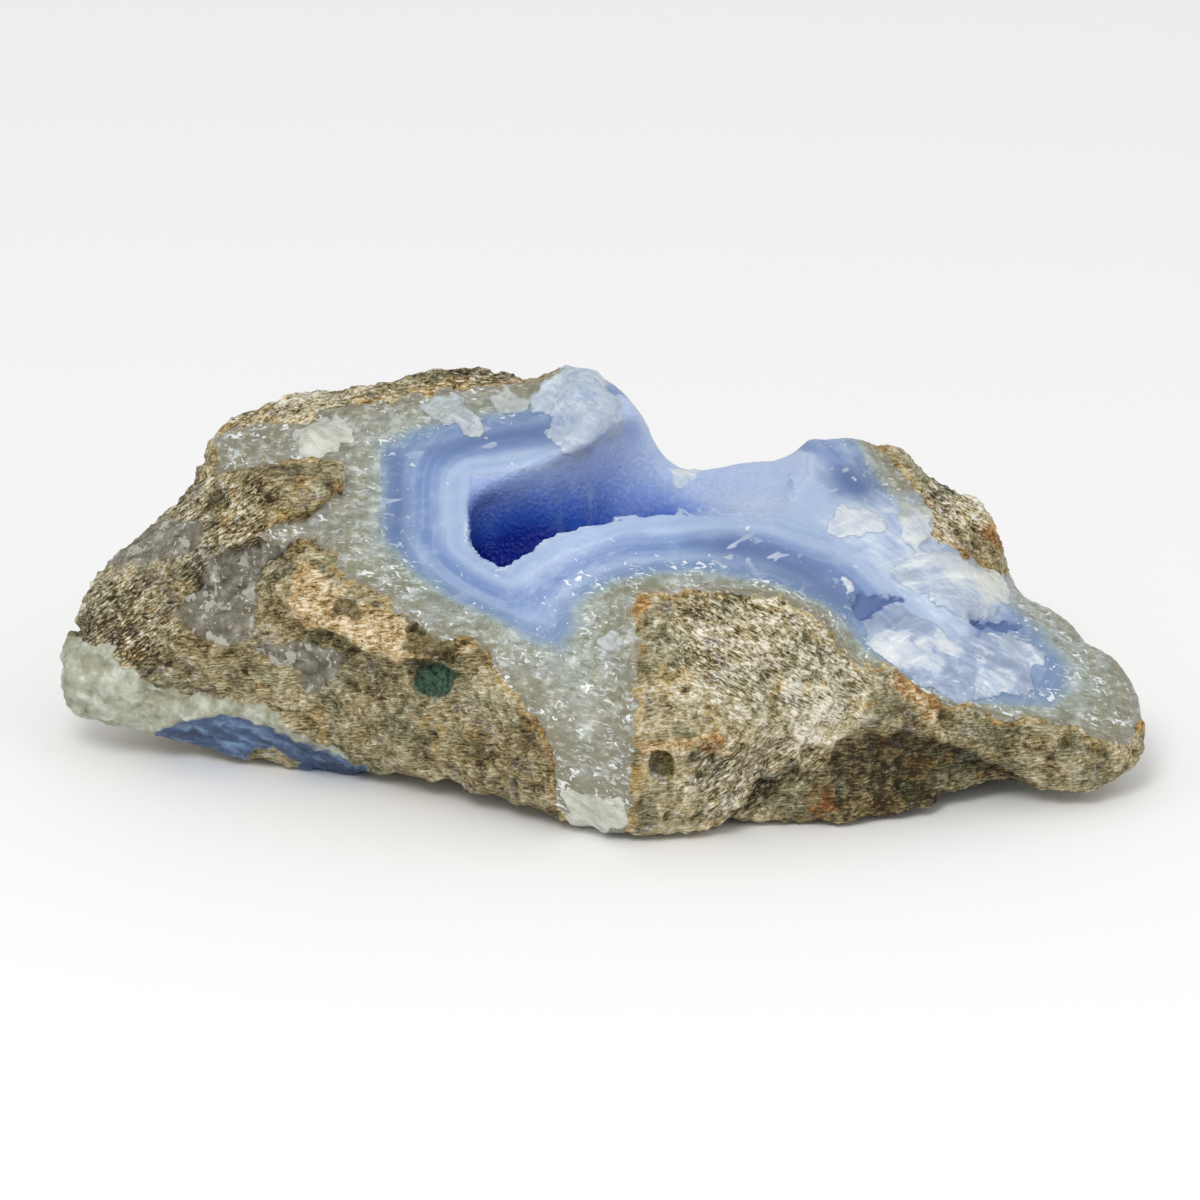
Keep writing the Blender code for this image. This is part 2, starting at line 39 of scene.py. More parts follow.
STONE_VOXEL = 0.7
HOLLOW_ENDS = (-12.9, 19.3)
BARE_HOLLOW_ENDS = (-14.6, 27)
BARE_HOLLOW_REACH = 1.6
# Cross-section of a hollow: shares of its mouth's half width and of its depth, and how far its
# wall leans forwards and wanders
SPREAD, SINK, BELLY = 1.1, 0.3, 0.7
LEAN = 0.42
WALL_WANDER, WALL_LUMP = 0.6, 6
LIP_PLACE, LIP_REACH, LIP_LIFT = (6.2, 25), (2.4, 1.5), 0.9

# Crests of the rind and of the stony outer band: their height, size and place in the noise
RIND_CRESTS = [(0.44, 4.8, 0), (0.36, 1.9, 21), (0.26, 0.9, 0)]
RIND_GRIT, FACE_GRIT = 0.14, 0.02
PORE_SPACING, PORE_RADIUS, PORE_DEPTH = 2.1, 0.36, 0.5
OCHRE_PORE_SPACING, OCHRE_PORE_RADIUS, OCHRE_PORE_DEPTH = 1.0, 0.4, 0.3
PIT_DEPTH, VESICLE_DEPTH, HOLE_DEPTH = 1.0, 1.6, 0.8
SHELL_SIZE, SHELL_HEIGHT = 3.2, 0.16
RIPPLE_HEIGHT, RIPPLES_PER_MM = 0.2, 2.2

CRUST_THICKNESS = 0.5
CRUST_LIFT, CRUST_EDGE_SUNK = 0.17, 0.14
CRYSTAL_SIZE, CRYSTAL_RADIUS, CRYSTAL_HEIGHT = 0.46, 0.62, 0.17
TEETH = 0.45

CAMERA_LENS, CAMERA_SENSOR = 300, 36
AIM = Vector((0, 0, 18.1))
LIT_PLACE = Vector((0, 0, 0.015))
SKY_STRENGTH = 0.7
# Soft round lights, each a place and a width in metres and a power in watts
LIGHTS = {"key": ((-0.15, -0.65, 0.65), 0.35, 3.2), "fill": ((0.6, -0.6, 0.5), 0.8, 0.6)}

# Hollow, from its left end to its right. Its front lip and its top edge are each (depth, rise),
# and it reaches some way below the line between them.
HOLLOW = [
    (-12.9, (-3.2, 23.4), (1.8, 31), 6.5), (-12.4, (-4.4, 22.6), (1.8, 31), 8),
    (-11.6, (-5.5, 22), (1.8, 30.9), 10), (-10.4, (-7.2, 21.2), (2, 30.7), 11.2),
    (-9.4, (-8.4, 20.7), (2.1, 30.4), 12), (-8.7, (-8.2, 21.3), (2.2, 30.2), 12.2),
    (-4, (-7.6, 23.9), (3.4, 29.7), 12.2), (-1, (-7, 25.2), (5.6, 30.6), 11.4),
    (2, (-6.4, 26.1), (10.2, 33.6), 10), (4.6, (-5.8, 26.4), (12.6, 33.6), 8.6),
    (7, (-5.2, 26.5), (13, 30.6), 6.6), (10, (-4.2, 26.7), (13, 30.4), 4.4),
    (14, (-3, 26.7), (13, 31.2), 2.6), (17, (-2.2, 26.6), (12.4, 31.4), 1.6),
    (19.3, (-1, 27), (11, 31), 0.9),
]
# The wider hollow of the plain stone, which the crystals and what they stand on fill in part
BARE_HOLLOW = [
    (-13.6, (-5.4, 23), (-0.8, 27.4), 5), (-12.9, (-6.3, 21.9), (0.9, 28.7), 9),
    (-9.4, (-8.9, 20.3), (1.9, 29.2), 12.5), (-8.2, (-9, 20.8), (2.2, 29.4), 13),
    (-4, (-8.5, 23.4), (3.3, 30), 13.5), (-1, (-7.7, 24.8), (5.2, 32.2), 13),
    (2, (-7, 25.6), (11, 36.4), 12), (4.6, (-6.3, 25.9), (12.6, 33.4), 11.5),
    (7, (-5.6, 26.1), (12.4, 29.2), 10.5), (10, (-4.8, 26.2), (12.4, 29.1), 9.5),
    (14, (-3.5, 26), (12.3, 30), 8.5), (18, (-2.6, 25.3), (11.5, 30.1), 7),
    (21, (-1, 25.4), (9, 30), 5), (24, (0.6, 25.9), (7, 29.4), 4), (26, (1.5, 26.5), (6.2, 29.1), 3.3),
]

# Edges of the broken face around the hollow, as (across, depth, rise), front to back
FACE_EDGES = [
    [(-18, -9, 16), (-12, -13.2, 12.4), (-8, -16.2, 9.3), (-4, -18, 8.3), (0, -17.8, 10),
     (3, -16.5, 15), (8, -13.6, 18.6), (14, -12, 18.8), (20, -12, 16.8), (30, -12, 8.5)],
    [(-20, 0.5, 24), (-13, -6, 20.6), (-9, -9, 20.4), (-4, -8.5, 23.4), (2, -7, 25.6),
     (10, -4.8, 26.2), (16, -3, 25.8), (20, -2.4, 24.6), (25, -2.2, 21.6), (30, -3, 18)],
    [(-20, 6.5, 31), (-13, 3.5, 30), (-9, 2.5, 30.6), (-4, 2.5, 32), (2, 3, 33), (10, 4, 30),
     (16, 4.5, 29.5), (20, 5, 29.5), (25, 5.2, 28), (30, 4.5, 24.5)],
    [(-20, 12.5, 36.9), (-12, 12.5, 38.2), (-5.5, 12.3, 38.6), (-2.5, 11, 39.4), (1, 11, 37.6),
     (4, 11, 35), (5.6, 11.5, 31), (7.5, 12, 29.4), (11, 12.5, 29.3), (15, 12.5, 30.6),
     (18, 12.5, 30.4), (20.5, 12.5, 32.2), (25, 12.5, 33), (30, 12.5, 30.6)],
    [(-20.5, 18, 39.6), (-12, 18, 40.8), (-5.5, 17, 39.3), (-2.5, 14, 40.1), (1, 13.8, 38.2),
     (4, 13.8, 35.7), (5.6, 14.2, 32.2), (7, 14.8, 30.1), (11, 15.2, 29.9), (15, 15.2, 31.3),
     (18.4, 15.2, 31), (20.5, 15.2, 32.9), (25, 15.2, 33.8), (31.5, 15.2, 31.6)],
    [(-20, 24, 20), (32, 22, 14)],
    [(-20, 18, 8), (32, 18, 8)],
    [(-20, -4, 2), (32, -4, 2)],
]

# Outlines of what the broken side shows, as (across, rise)
BROKEN_FACE = [
    (-38.8, 33.8), (-36.5, 34.5), (-33.8, 35), (-30, 34.6), (-28.2, 35.8), (-25.5, 36.3), (-23, 36.8),
    (-20, 37.2), (-17, 37.8), (-14.5, 38.2), (-12, 38.4), (-9, 38.5), (-6.5, 38.8), (-5, 39.4),
    (-3, 42), (3, 40), (6, 36), (7, 32.5), (15, 33), (20, 35), (25, 36), (26.6, 33), (28, 32),
    (29.3, 30.8), (30.5, 29.2), (31.8, 27.8), (33, 26.5), (33.4, 25), (33.4, 23.5), (35, 22),
    (36.5, 21), (38.5, 20.2), (40.2, 19.2), (42, 19.5), (47, 16.5), (52, 12), (54.5, 9), (55, 6),
    (53.6, 4.6), (52.6, 2.6), (49.5, 3), (46.4, 4.3), (43.4, 5.3), (40.3, 5.1), (38.3, 5.9),
    (36.2, 6.7), (33.4, 6.7), (31.8, 7.9), (30.1, 9.6), (28.5, 10.8), (25.7, 10.6), (24, 12.7),
    (22.5, 14.7), (21, 15.6), (18.6, 16.7), (15.9, 17.5), (13.1, 17.9), (7.5, 18), (3.8, 17.9),
    (2.9, 16.6), (3.1, 14.7), (3.8, 13), (3.7, 9.9), (3.3, 6.2), (3.3, 2.5), (2.6, -1.2), (3.1, -3),
    (2, -8), (-2.5, -8), (-3.2, -4.9), (-4.5, -1.6), (-4.2, 0.7), (-6, 4.4), (-7.3, 6.6), (-8.6, 8.4),
    (-9.7, 10.1), (-11.2, 12.3), (-12.7, 13), (-15.3, 13.2), (-16.9, 13.7), (-18.6, 14.7),
    (-19.8, 15.9), (-21.1, 17.4), (-23.1, 18.4), (-25.1, 19.2), (-26.1, 20.5), (-26.4, 22.2),
    (-28.2, 23), (-30, 23.2), (-32, 22.5), (-33.8, 23.4), (-31.6, 24.5), (-29.3, 25.1),
    (-27.7, 26.4), (-26.1, 27.7), (-25.5, 29.2), (-25.7, 30.4), (-28, 30.7), (-31, 30.4),
    (-34, 30), (-36.5, 30), (-38.5, 30.2), (-39, 31.5),
]
# The bands of the wall follow the mouth of the hollow and the line on which it closes
MOUTH = [
    (-12.8, 28.8), (-12.9, 27), (-12.8, 23.9), (-13, 22.7), (-11.5, 21.5), (-10, 20.7), (-9.1, 20.3),
    (-8.8, 21), (-7, 22), (-4.9, 23.3), (-2.5, 24), (-0.6, 24.6), (2.2, 25.6), (7.1, 25.6),
    (9.8, 26.1), (14.7, 26.3), (17.8, 26.1), (20, 25.4), (23, 24.4), (25, 25), (23.5, 27),
    (21.5, 28.5), (20, 30), (18.2, 30.8), (17.5, 31.2), (14, 31.2), (11.2, 30.8), (10, 30),
    (6.8, 30.2), (5.8, 30.5), (5, 33), (3.5, 35.8), (0.6, 33.1), (-1, 31.8), (-2.4, 31.3),
    (-4, 30.4), (-8, 29.6), (-11, 29.1),
]
# Outer edge of the blue bands
BLUE_EDGE = [
    (-21.7, 32.6), (-18.6, 34.1), (-13, 35.4), (-7.4, 36.2), (-5.5, 36.8), (-3, 42), (3, 40), (6, 36),
    (7, 32.5), (15, 33), (20, 35), (24, 36), (25.8, 33.5), (26.7, 31), (28, 28.4), (29.8, 26.8),
    (32.4, 25), (35.6, 22), (38.6, 19), (41, 17), (44.4, 13.9), (46.8, 10.8), (46.8, 8.2), (45, 6.4),
    (40, 6.6), (35, 7), (30, 9.4), (26.8, 12), (24.5, 14.5), (22, 16.5), (18, 18), (14, 19),
    (10, 19.7), (6, 19.5), (2, 19), (-1, 17.6), (-2.5, 16.4), (-2.6, 13.5), (-4, 12.4), (-6.2, 12.7),
    (-10, 14.9), (-14.8, 17.1), (-18.9, 20.1), (-21.5, 23.1), (-21.7, 28),
]
CLOSING_LINE = [(22, 25.5), (27, 21.5), (31, 17.6), (34.5, 14.6)]
# White broken plates, each an outline, how light it is and how creamy
PLATES = [
    ([(-4.6, 39.4), (-3, 40.6), (-1.2, 40.4), (1.2, 37.7), (2.4, 35), (1.9, 33.3), (0.6, 32.8),
      (-0.6, 32.2), (-1.8, 31.4), (-2.9, 31.3), (-3.6, 31.8), (-3.9, 32.5), (-4.9, 33), (-5.3, 33.7),
      (-5, 35), (-6.1, 35.4), (-6.7, 35.9), (-7, 36.8), (-6.4, 37.7), (-5.5, 38.8)], 0.4, 0.15),
    ([(-17.8, 36.4), (-16, 37.6), (-13.6, 37), (-12.2, 35.2), (-11.2, 33.2), (-13.2, 33.8),
      (-15.2, 34.8), (-16.4, 35.2)], 0.4, 0.5),
    ([(-11, 37.4), (-9.4, 38), (-7.4, 37.6), (-6.8, 36.6), (-8.4, 35.6), (-10, 35.8)], 0.35, 0.7),
    ([(-31, 33.6), (-29, 34.6), (-26.4, 35.2), (-24.6, 34.4), (-25, 33), (-27, 32), (-28.6, 30.8),
      (-30.2, 31.2), (-30.2, 32.6)], 0.6, 1),
    ([(7, 30.2), (8.4, 30), (10.2, 30.4), (9.4, 28.9), (8.4, 28.2), (7.6, 28.6)], 0.65, 0.1),
    ([(22.6, 24.5), (23.3, 25.6), (24.1, 26.6), (25.6, 26.2), (26.9, 25.6), (28.2, 24.8), (28, 23.9),
      (26.9, 23.5), (25.6, 23.1), (24.3, 23.5), (22.9, 23.9)], 0.62, 0.1),
    ([(29.8, 25.8), (30.5, 26.6), (32.8, 26.4), (33.3, 25.2), (33.2, 24.1), (31.7, 23.7),
      (30, 24.5)], 0.5, 0.9),
    ([(30.2, 24.3), (31.7, 24.6), (33.4, 24.3), (33.2, 23.2), (31.7, 22.4), (30.4, 23.2)], 0.75, 0.2),
    ([(30.5, 20.9), (31.7, 21.8), (33.2, 22.2), (35.1, 21.8), (37, 20.8), (38.9, 19.7), (40.8, 18.9),
      (41, 18), (40.4, 17.2), (40.8, 16.5), (39.3, 15.3), (37.4, 15), (35.5, 15.3), (33.2, 16.5),
      (31.3, 18), (29.4, 19.1), (29, 20.3)], 0.42, 0.1),
    ([(33.2, 22.2), (35.1, 21.9), (37, 20.8), (38.9, 19.6), (40.9, 18.8), (40.8, 18), (39.3, 18),
      (37, 18.8), (34.7, 19.9), (32.8, 21)], 0.62, 0.5),
    ([(38.4, 19.6), (41, 18.9), (40.8, 17.4), (39.2, 17.2), (38.2, 18.2)], 0.8, 0.9),
    ([(26.2, 14.6), (26.7, 15.7), (27.5, 16.5), (29, 16.9), (30.5, 16.5), (33.2, 14.6), (35.1, 13.1),
      (37, 13.4), (39.3, 13.7), (41.6, 13.4), (43.1, 12.7), (44.2, 11.5), (44, 10.6), (42.9, 10.2),
      (42.7, 9.3), (43.1, 8.5), (42.7, 7.6), (40.8, 7.7), (38.5, 7.4), (36.2, 6.6), (34, 7.6),
      (32.1, 8.5), (30.2, 9.3), (28.3, 10.8), (26.7, 11.9), (26.2, 13.1)], 0.2, 0),
    ([(27.1, 12.7), (28.3, 13.6), (29.4, 13.4), (30.5, 12.5), (32.1, 12.3), (33.6, 10.8), (33.2, 10.2),
      (31.3, 10.8), (29.4, 10.8), (27.9, 11.5)], 0.68, 0),
    ([(37.4, 9.6), (38.5, 10), (40.4, 9.8), (41, 8.9), (40.2, 7.7), (38.5, 7.9),
      (37.4, 8.7)], 0.58, 0.1),
    ([(39.6, 13.5), (43.1, 12.7), (44.2, 11.5), (43.8, 10.6), (42.3, 10.4), (40.4, 11.5)], 0.36, 0.05),
    ([(33.8, 13.8), (35.2, 13.1), (35.4, 12.2), (34, 12.4)], 0.7, 0),
    ([(24.1, 19.1), (25, 18.6), (25.3, 17.3), (24.6, 17.7)], 0.8, 0),
    ([(-4, -1.4), (-0.5, -2.4), (2.6, -2), (2.6, -5), (0, -6), (-3, -4.6)], 0.6, 1),
    ([(-0.6, 12.8), (1.2, 13.7), (2.6, 13.2), (2.4, 12.5), (0.4, 11.9)], 0.5, 0.6),
]
# Hazy zone round the plates, and where the break that shaped them started
HAZE = [
    (22, 25), (24, 26.8), (28.4, 27.2), (31.6, 27), (33.6, 25), (34.6, 22.4), (38, 20.6), (41, 18.4),
    (41, 15.6), (37, 14.6), (36.8, 12.6), (34, 13.6), (31, 16.6), (28, 19.6), (24, 22.6),
]
BREAK_START = (34.3, 5)
# Smooth grey quartz, bare of rind
QUARTZ_FACETS = [
    [(-50.2, 20.4), (-49.4, 22.6), (-46.5, 24.2), (-43, 25), (-39.8, 24.6), (-39.6, 23), (-41.4, 21.4),
     (-45, 20.7)],
    [(-42.8, 15.8), (-41.5, 18.2), (-39.8, 20.6), (-37, 22), (-33.6, 23.2), (-31.4, 23.8),
     (-32.2, 22), (-33.8, 20.6), (-34.8, 17), (-34.8, 13), (-37.5, 12.2), (-41, 13.8)],
    [(-34.6, 12), (-31, 12.4), (-26.6, 12), (-25.6, 10.4), (-27.4, 8.6), (-29.4, 7.6), (-30.4, 9.4),
     (-33, 10.4)],
]
BLUE_HOLES = [
    [(25.2, 17.2), (26.2, 17.9), (27.9, 17.7), (30.2, 17.1), (28.8, 16.6), (27.9, 16.1), (27.1, 15.2),
     (26.2, 15.4), (25.7, 16.3)],
    [(37.2, 14.9), (39.3, 15.1), (41.2, 14.9), (42.4, 14.6), (40.8, 14.3), (39.3, 14.2), (37.8, 14.4)],
]
DARK_BLUE = [
    [(22.6, 29.4), (24.2, 30.8), (26.6, 30.2), (28.4, 28.2), (27.6, 26.2), (25.6, 26), (23.6, 27.4)],
    [(-18, 32.2), (-14, 33.6), (-9, 34.8), (-4.4, 35), (-5.2, 33.4), (-3.6, 32.2), (-8, 32.6),
     (-12, 32.1), (-17.4, 31.2)],
    [(9, 22.8), (13, 23.6), (16, 23), (20, 21.2), (24, 18.6), (26.6, 16.6), (24.6, 15.6), (20, 18.2),
     (16, 20.4), (12, 21.2)],
    [(-21.4, 31.6), (-19.4, 31.6), (-19, 26), (-19.6, 22.4), (-21.2, 23.6)],
]
OCHRE_PATCHES = [
    [(-31, 19.6), (-30.4, 21), (-28.4, 20.4), (-26.6, 18.6), (-24.4, 17), (-22, 16.4), (-19.6, 15),
     (-17.6, 13.8), (-14.4, 13.2), (-12, 12.6), (-13.6, 11.8), (-17, 11.4), (-20, 10.8), (-23, 11.8),
     (-25, 13.4), (-29, 14), (-31, 16)],
    [(3.6, 3.2), (7, 3.8), (11, 3.4), (12.6, 1.8), (9, 2), (6, 1.6), (3.8, 2)],
    [(28.6, 9.8), (31, 8.2), (33.4, 6.2), (33, 5.2), (30.6, 6.8)],
]
CLEAR_CHUNK = [
    (-55, 13.8), (-52.5, 13.2), (-49.4, 12.4), (-48, 10.6), (-45.6, 9.4), (-43.4, 8.2), (-39.5, 7.2),
    (-36.4, 6.9), (-33.4, 5.9), (-31, 4.6), (-27.6, 2.8), (-25, 1.2), (-29, 1.6), (-35, 2.5),
    (-40, 2.5), (-44, 3.2), (-50, 3), (-56, 3),
]
# The blue underside of the left end, coloured darker partly for painted shade under the overhang
BLUE_UNDERSIDE = [
    (-44.5, 4), (-43.4, 4.5), (-40.8, 5.2), (-37.3, 5.7), (-34.6, 5), (-31, 3.8), (-27.6, 2),
    (-23, 0.2), (-24, -1.5),
    (-29.4, -1.5), (-30.4, 0.9), (-32.6, 2.2), (-34.6, 2.3), (-35.8, 0.6), (-37, -1), (-45, 2.4),
]
LILAC_WALL = [
    (1.5, 41), (0.8, 38.4), (2.3, 35), (2, 33.2), (0.6, 32.6), (-2, 31), (-1, 28), (4, 26), (12, 26.4),
    (18.6, 27), (21, 29.4), (21.6, 34), (18, 32.2), (12, 32), (7.2, 31.6), (6.4, 35),
]
# Where dusk, painted shade over the deeper blue of the stone, begins in the hollow, and how far down it
# deepens, as (across, rise, reach)
DUSK = [
    (-13, 31, 9.6), (-8, 31.4, 7.6), (-4, 32, 8.6), (0, 33.4, 11.4), (2, 34, 14.5), (4, 32.4, 11.6),
    (6, 30.6, 8), (8, 29.2, 6.5), (10, 28.6, 8), (13, 27.8, 12), (20, 26.5, 14),
]
# Which way the fibres of the rind run: a middle, a radius, and up (1) or down (-1) to the right
FIBRES = [
    ((-38, 24), 7, 1), ((-48, 15), 6, 1), ((13, -1), 5, 1), ((18, 3), 5, 1), ((14, 13), 8, -1),
    ((22, 9), 5, -1), ((-26, 38), 6, 0), ((-14, 39), 6, 0), ((-34, 36), 5, 1), ((36, 27), 5, -1),
]
# Vesicle and dark pits: dents in the rind whose dark colour is partly painted shade inside them
VESICLE = [((-16.6, 8.8), 1.7)]
DARK_PITS = [
    ((-25.8, 16.6), 0.8), ((-24.8, 16.3), 0.7), ((-17.2, 13), 1.3), ((-15.8, 12.8), 1), ((6.2, 0.7), 0.9),
    ((-38.4, 27.6), 0.6), ((34, 5.6), 0.6), ((46, 2.6), 0.5),
]
RUST_SPOTS = [
    ((10.8, 2.9), 0.9), ((30.4, 8.4), 1), ((33, 6.4), 0.9), ((22, -3.8), 1.2), ((54.4, 5.6), 1),
    ((-36, 32), 1), ((40.2, 24), 1), ((3.6, 16.6), 0.8), ((-25.6, 28.4), 0.9),
]
# Where the rind is lighter or darker: a middle, a radius, and by how much. Partly the rind's own tone and
# partly painted: painted shade in the undercut below the front lump and on the top crust, painted light on
# the upper lump
RIND_TONES_AND_SHADE = [
    ((14, 12), 6, 0.15), ((9, 17), 4, -0.2), ((9, 16), 1.5, -0.5), ((10.6, 10.5), 1.8, -0.5),
    ((19, 8), 5, 0.2), ((12, 0), 7, -0.1), ((30, -2), 8, -0.75), ((24, -1), 6, -0.25), ((23, 6), 5, 0.5),
    ((22, 1), 3, 0.1), ((-48, 14), 4, -0.3), ((-47, 20.5), 3.5, 0.12), ((-30, 37), 6, 0.3),
    ((-42, 12), 8, -0.3), ((-22, 5), 9, -0.2), ((-8, 0), 6, -0.35), ((-38, 28), 6, -0.1),
    ((-18, 38), 12, -0.2), ((35, 27), 6, 0.12), ((37, 22), 3, -0.4), ((44, 0), 6, -0.15),
    ((-32, 27.6), 5, -0.4), ((-36, 19), 5, -0.3), ((-17, 13), 4, -0.5), ((2, 21), 5, 0.1),
]
# Ledges across the rind: a line from left to right with the high side above it, its height, and
# how far it fades above and below
LEDGES = [
    ([(-40.3, 20.3), (-35, 22.7), (-31, 24.7), (-28.3, 26), (-26.3, 27.7)], 2.0, 3, 5),
    ([(-31, 16.3), (-29, 14), (-25, 13.3), (-23, 11.7), (-20, 11), (-16.7, 12), (-11.7, 12.7)], 1.6, 3, 5),
    ([(-52.8, 13.7), (-48.3, 12), (-45.3, 9.7), (-41.7, 7.7), (-36, 6), (-28, 4)], -1.0, 3, 3),
    ([(3.5, 2.7), (6.7, 3.3), (11, 2.7)], 1.2, 2, 3),
    ([(12.3, -4.8), (14, -3.4), (15.4, -1), (18, 0.2), (20.4, 2.4), (23.4, 2.6), (26, 4.2),
      (28.4, 3.5), (30.6, 4.3), (33.6, 2.6), (36, 2.6), (38, 0.8), (41.8, -1)], 1.8, 2.5, 5),
    ([(-52, 15), (-46, 19), (-41, 19.6)], 0.9, 3, 3),
    ([(-39, 30.6), (-34, 30.8), (-28, 31), (-25.6, 31.2)], -1.4, 4, 3),
    ([(-12, 2), (-6, 6), (-4, 1)], 0.5, 2, 3),
    ([(26, 9), (31, 6), (36, 4.8), (44, 3.6)], 0.9, 2, 3),
]
# Broad swellings and dips: a middle, how far they reach across and up, and how high
SWELLINGS = [
    ((30, -1), (11, 4), -1.6), ((14, 12), (8, 6), 0.7), ((-38.4, 29), (2.5, 3), -1.0),
    ((-33, 27.6), (5, 2.4), 0.8), ((-38, 17), (6, 3.6), -0.8), ((-10, 3), (6, 5), -0.4),
    ((48, 2), (5, 3), 0.5), ((-22, 14), (7, 2.4), 0.5), ((24, 11), (3, 5), -0.6),
]


def smooth_step(value):
    value = np.clip(value, 0, 1)
    return value * value * (3 - 2 * value)


def bell(drawn, centre, reach):
    """1 at a place, falling smoothly to 0 round it."""
    away = (drawn - centre) / reach
    return np.exp(-(away * away).sum(1))


def soft_edge(depth, softness):
    """A half where a depth is zero, and 0 or 1 half a softness to either side."""
    return np.clip(0.5 + depth / softness, 0, 1)


def sampled(points, size, kind=noise.noise):
    """A noise over points, with lumps of about one size in millimetres."""
    return np.array([kind(Vector(point) / size) for point in points])


def to_seed(place):
    """How far a place lies from the nearest of the seeds that are scattered in the noise."""
    return noise.voronoi(place)[0][0]


def ridges(points, size):
    """Sharp crests with rounded valleys between them."""
    return 0.5 - 1.6 * np.abs(sampled(points, size))


def inside(drawn, outline):
    """Which drawn points lie inside a closed outline."""
    found = np.zeros(len(drawn), bool)
    for (x0, y0), (x1, y1) in zip(outline, outline[1:] + outline[:1]):
        if y0 != y1:
            crosses = (y0 > drawn[:, 1]) != (y1 > drawn[:, 1])
            found ^= crosses & (drawn[:, 0] < x0 + (drawn[:, 1] - y0) * (x1 - x0) / (y1 - y0))
    return found


def stretches(drawn, line, closed):
    """For each stretch of a line: its run, the share of it at which each drawn point lies, and how
    the point lies away from it."""
    corners = np.array(line + line[:1] if closed else line, float)
    for start, end in zip(corners, corners[1:]):
        run = end - start
        share = np.clip((drawn - start) @ run / (run @ run), 0, 1)
        yield run, share, drawn - (start + share[:, None] * run)


def distance_to(drawn, line, closed=True):
    """How far drawn points lie from a line."""
    away = [np.linalg.norm(away, axis=1) for _, _, away in stretches(drawn, line, closed)]
    return np.min(away, axis=0)


def beyond_line(drawn, line):
    """How far drawn points lie above a line that runs to the right, and below zero under it."""
    nearest, signed = np.full(len(drawn), np.inf), np.zeros(len(drawn))
    for run, _, away in stretches(drawn, line, closed=False):
        distance = np.linalg.norm(away, axis=1)
        side = np.sign(run[0] * away[:, 1] - run[1] * away[:, 0])
        signed = np.where(distance < nearest, side * distance, signed)
        nearest = np.minimum(nearest, distance)
    return signed


def along_line(drawn, line):
    """How far round a closed line the nearest place to each drawn point lies."""
    nearest, found = np.full(len(drawn), np.inf), np.zeros(len(drawn))
    travelled = 0
    for run, share, away in stretches(drawn, line, closed=True):
        distance, length = np.linalg.norm(away, axis=1), np.linalg.norm(run)
        found = np.where(distance < nearest, travelled + share * length, found)
        nearest = np.minimum(nearest, distance)
        travelled += length
    return found


def depth_into(drawn, *outlines):
    """How far drawn points lie inside any of some outlines, and below zero outside them all."""
    depths = []
    for outline in outlines:
        away = distance_to(drawn, outline)
        depths.append(np.where(inside(drawn, outline), away, -away))
    return np.max(depths, axis=0)


def link(name, data):
    made = bpy.data.objects.new(name, data)
    bpy.context.scene.collection.objects.link(made)
    return made


def object_from(bm, name):
    """Puts a bmesh in the scene as an object of triangles, and frees it."""
    bmesh.ops.triangulate(bm, faces=bm.faces)
    mesh = bpy.data.meshes.new(name)
    bm.to_mesh(mesh)
    bm.free()
    return link(name, mesh)


def apply_modifier(obj, kind, **settings):
    modifier = obj.modifiers.new(kind.title(), kind)
    for key, value in settings.items():
        setattr(modifier, key, value)
    graph = bpy.context.evaluated_depsgraph_get()
    mesh = bpy.data.meshes.new_from_object(obj.evaluated_get(graph))
    obj.modifiers.clear()
    obj.data = mesh


def cut(obj, other, operation):
    apply_modifier(
        obj, "BOOLEAN", object=other, operation=operation, solver="EXACT", use_self=True
    )


def edges_of(faces):
    """The edges of some faces, each once and in their order."""
    return list(dict.fromkeys(edge for face in faces for edge in face.edges))


def points_of(mesh):
    flat = np.empty(len(mesh.vertices) * 3, np.float32)
    mesh.vertices.foreach_get("co", flat)
    return flat.reshape(-1, 3).astype(float)


def move_to(mesh, points):
    mesh.vertices.foreach_set("co", points.astype(np.float32).ravel())
    mesh.update()


def seen_from_front(points):
    """Where points lie in the view: across, and their rise."""
    return np.stack([points[:, 0], points @ UPRIGHT], axis=1)


def seen(across, depth, rise):
    """A place given by its rise in the view."""
    return Vector((across, depth, (rise - depth * math.sin(TILT)) / math.cos(TILT)))


def table_at(table, across):
    """The values of a table's rows at one distance across."""
    rows = np.array(table)
    return [float(np.interp(across, rows[:, 0], rows[:, i])) for i in range(1, rows.shape[1])]


def hollow_rings(table, shrink, lean, sides, spacing, ends):
    """Cross-sections of a hollow, drawn in by shrink millimetres and leaning forwards below."""
    flat = [(at, *lip, *top, deep) for at, lip, top, deep in table]
    rings = []
    for across in np.linspace(*ends, round((ends[1] - ends[0]) / spacing) + 1):
        lip_depth, lip_rise, top_depth, top_rise, deep = table_at(flat, across)
        lip, top = seen(across, lip_depth, lip_rise), seen(across, top_depth, top_rise)
        along = (top - lip) / 2
        half = along.length * SPREAD
        along.normalize()
        out = Vector((0, -along.z, along.y))
        middle = (lip + top) / 2 - out * SINK * deep
        ring = []
        for side in range(sides):
            turn = 2 * math.pi * side / sides
            place = middle + along * half * math.cos(turn) + out * BELLY * deep * math.sin(turn)
            place -= along * lean * max(0, deep * (SINK - BELLY * math.sin(turn)))
            wall = along * math.cos(turn) / half + out * math.sin(turn) / (BELLY * deep)
            wander = WALL_WANDER * noise.noise(place / WALL_LUMP)
            ring.append(place + wall.normalized() * (wander - shrink))
        rings.append(ring)
    return rings


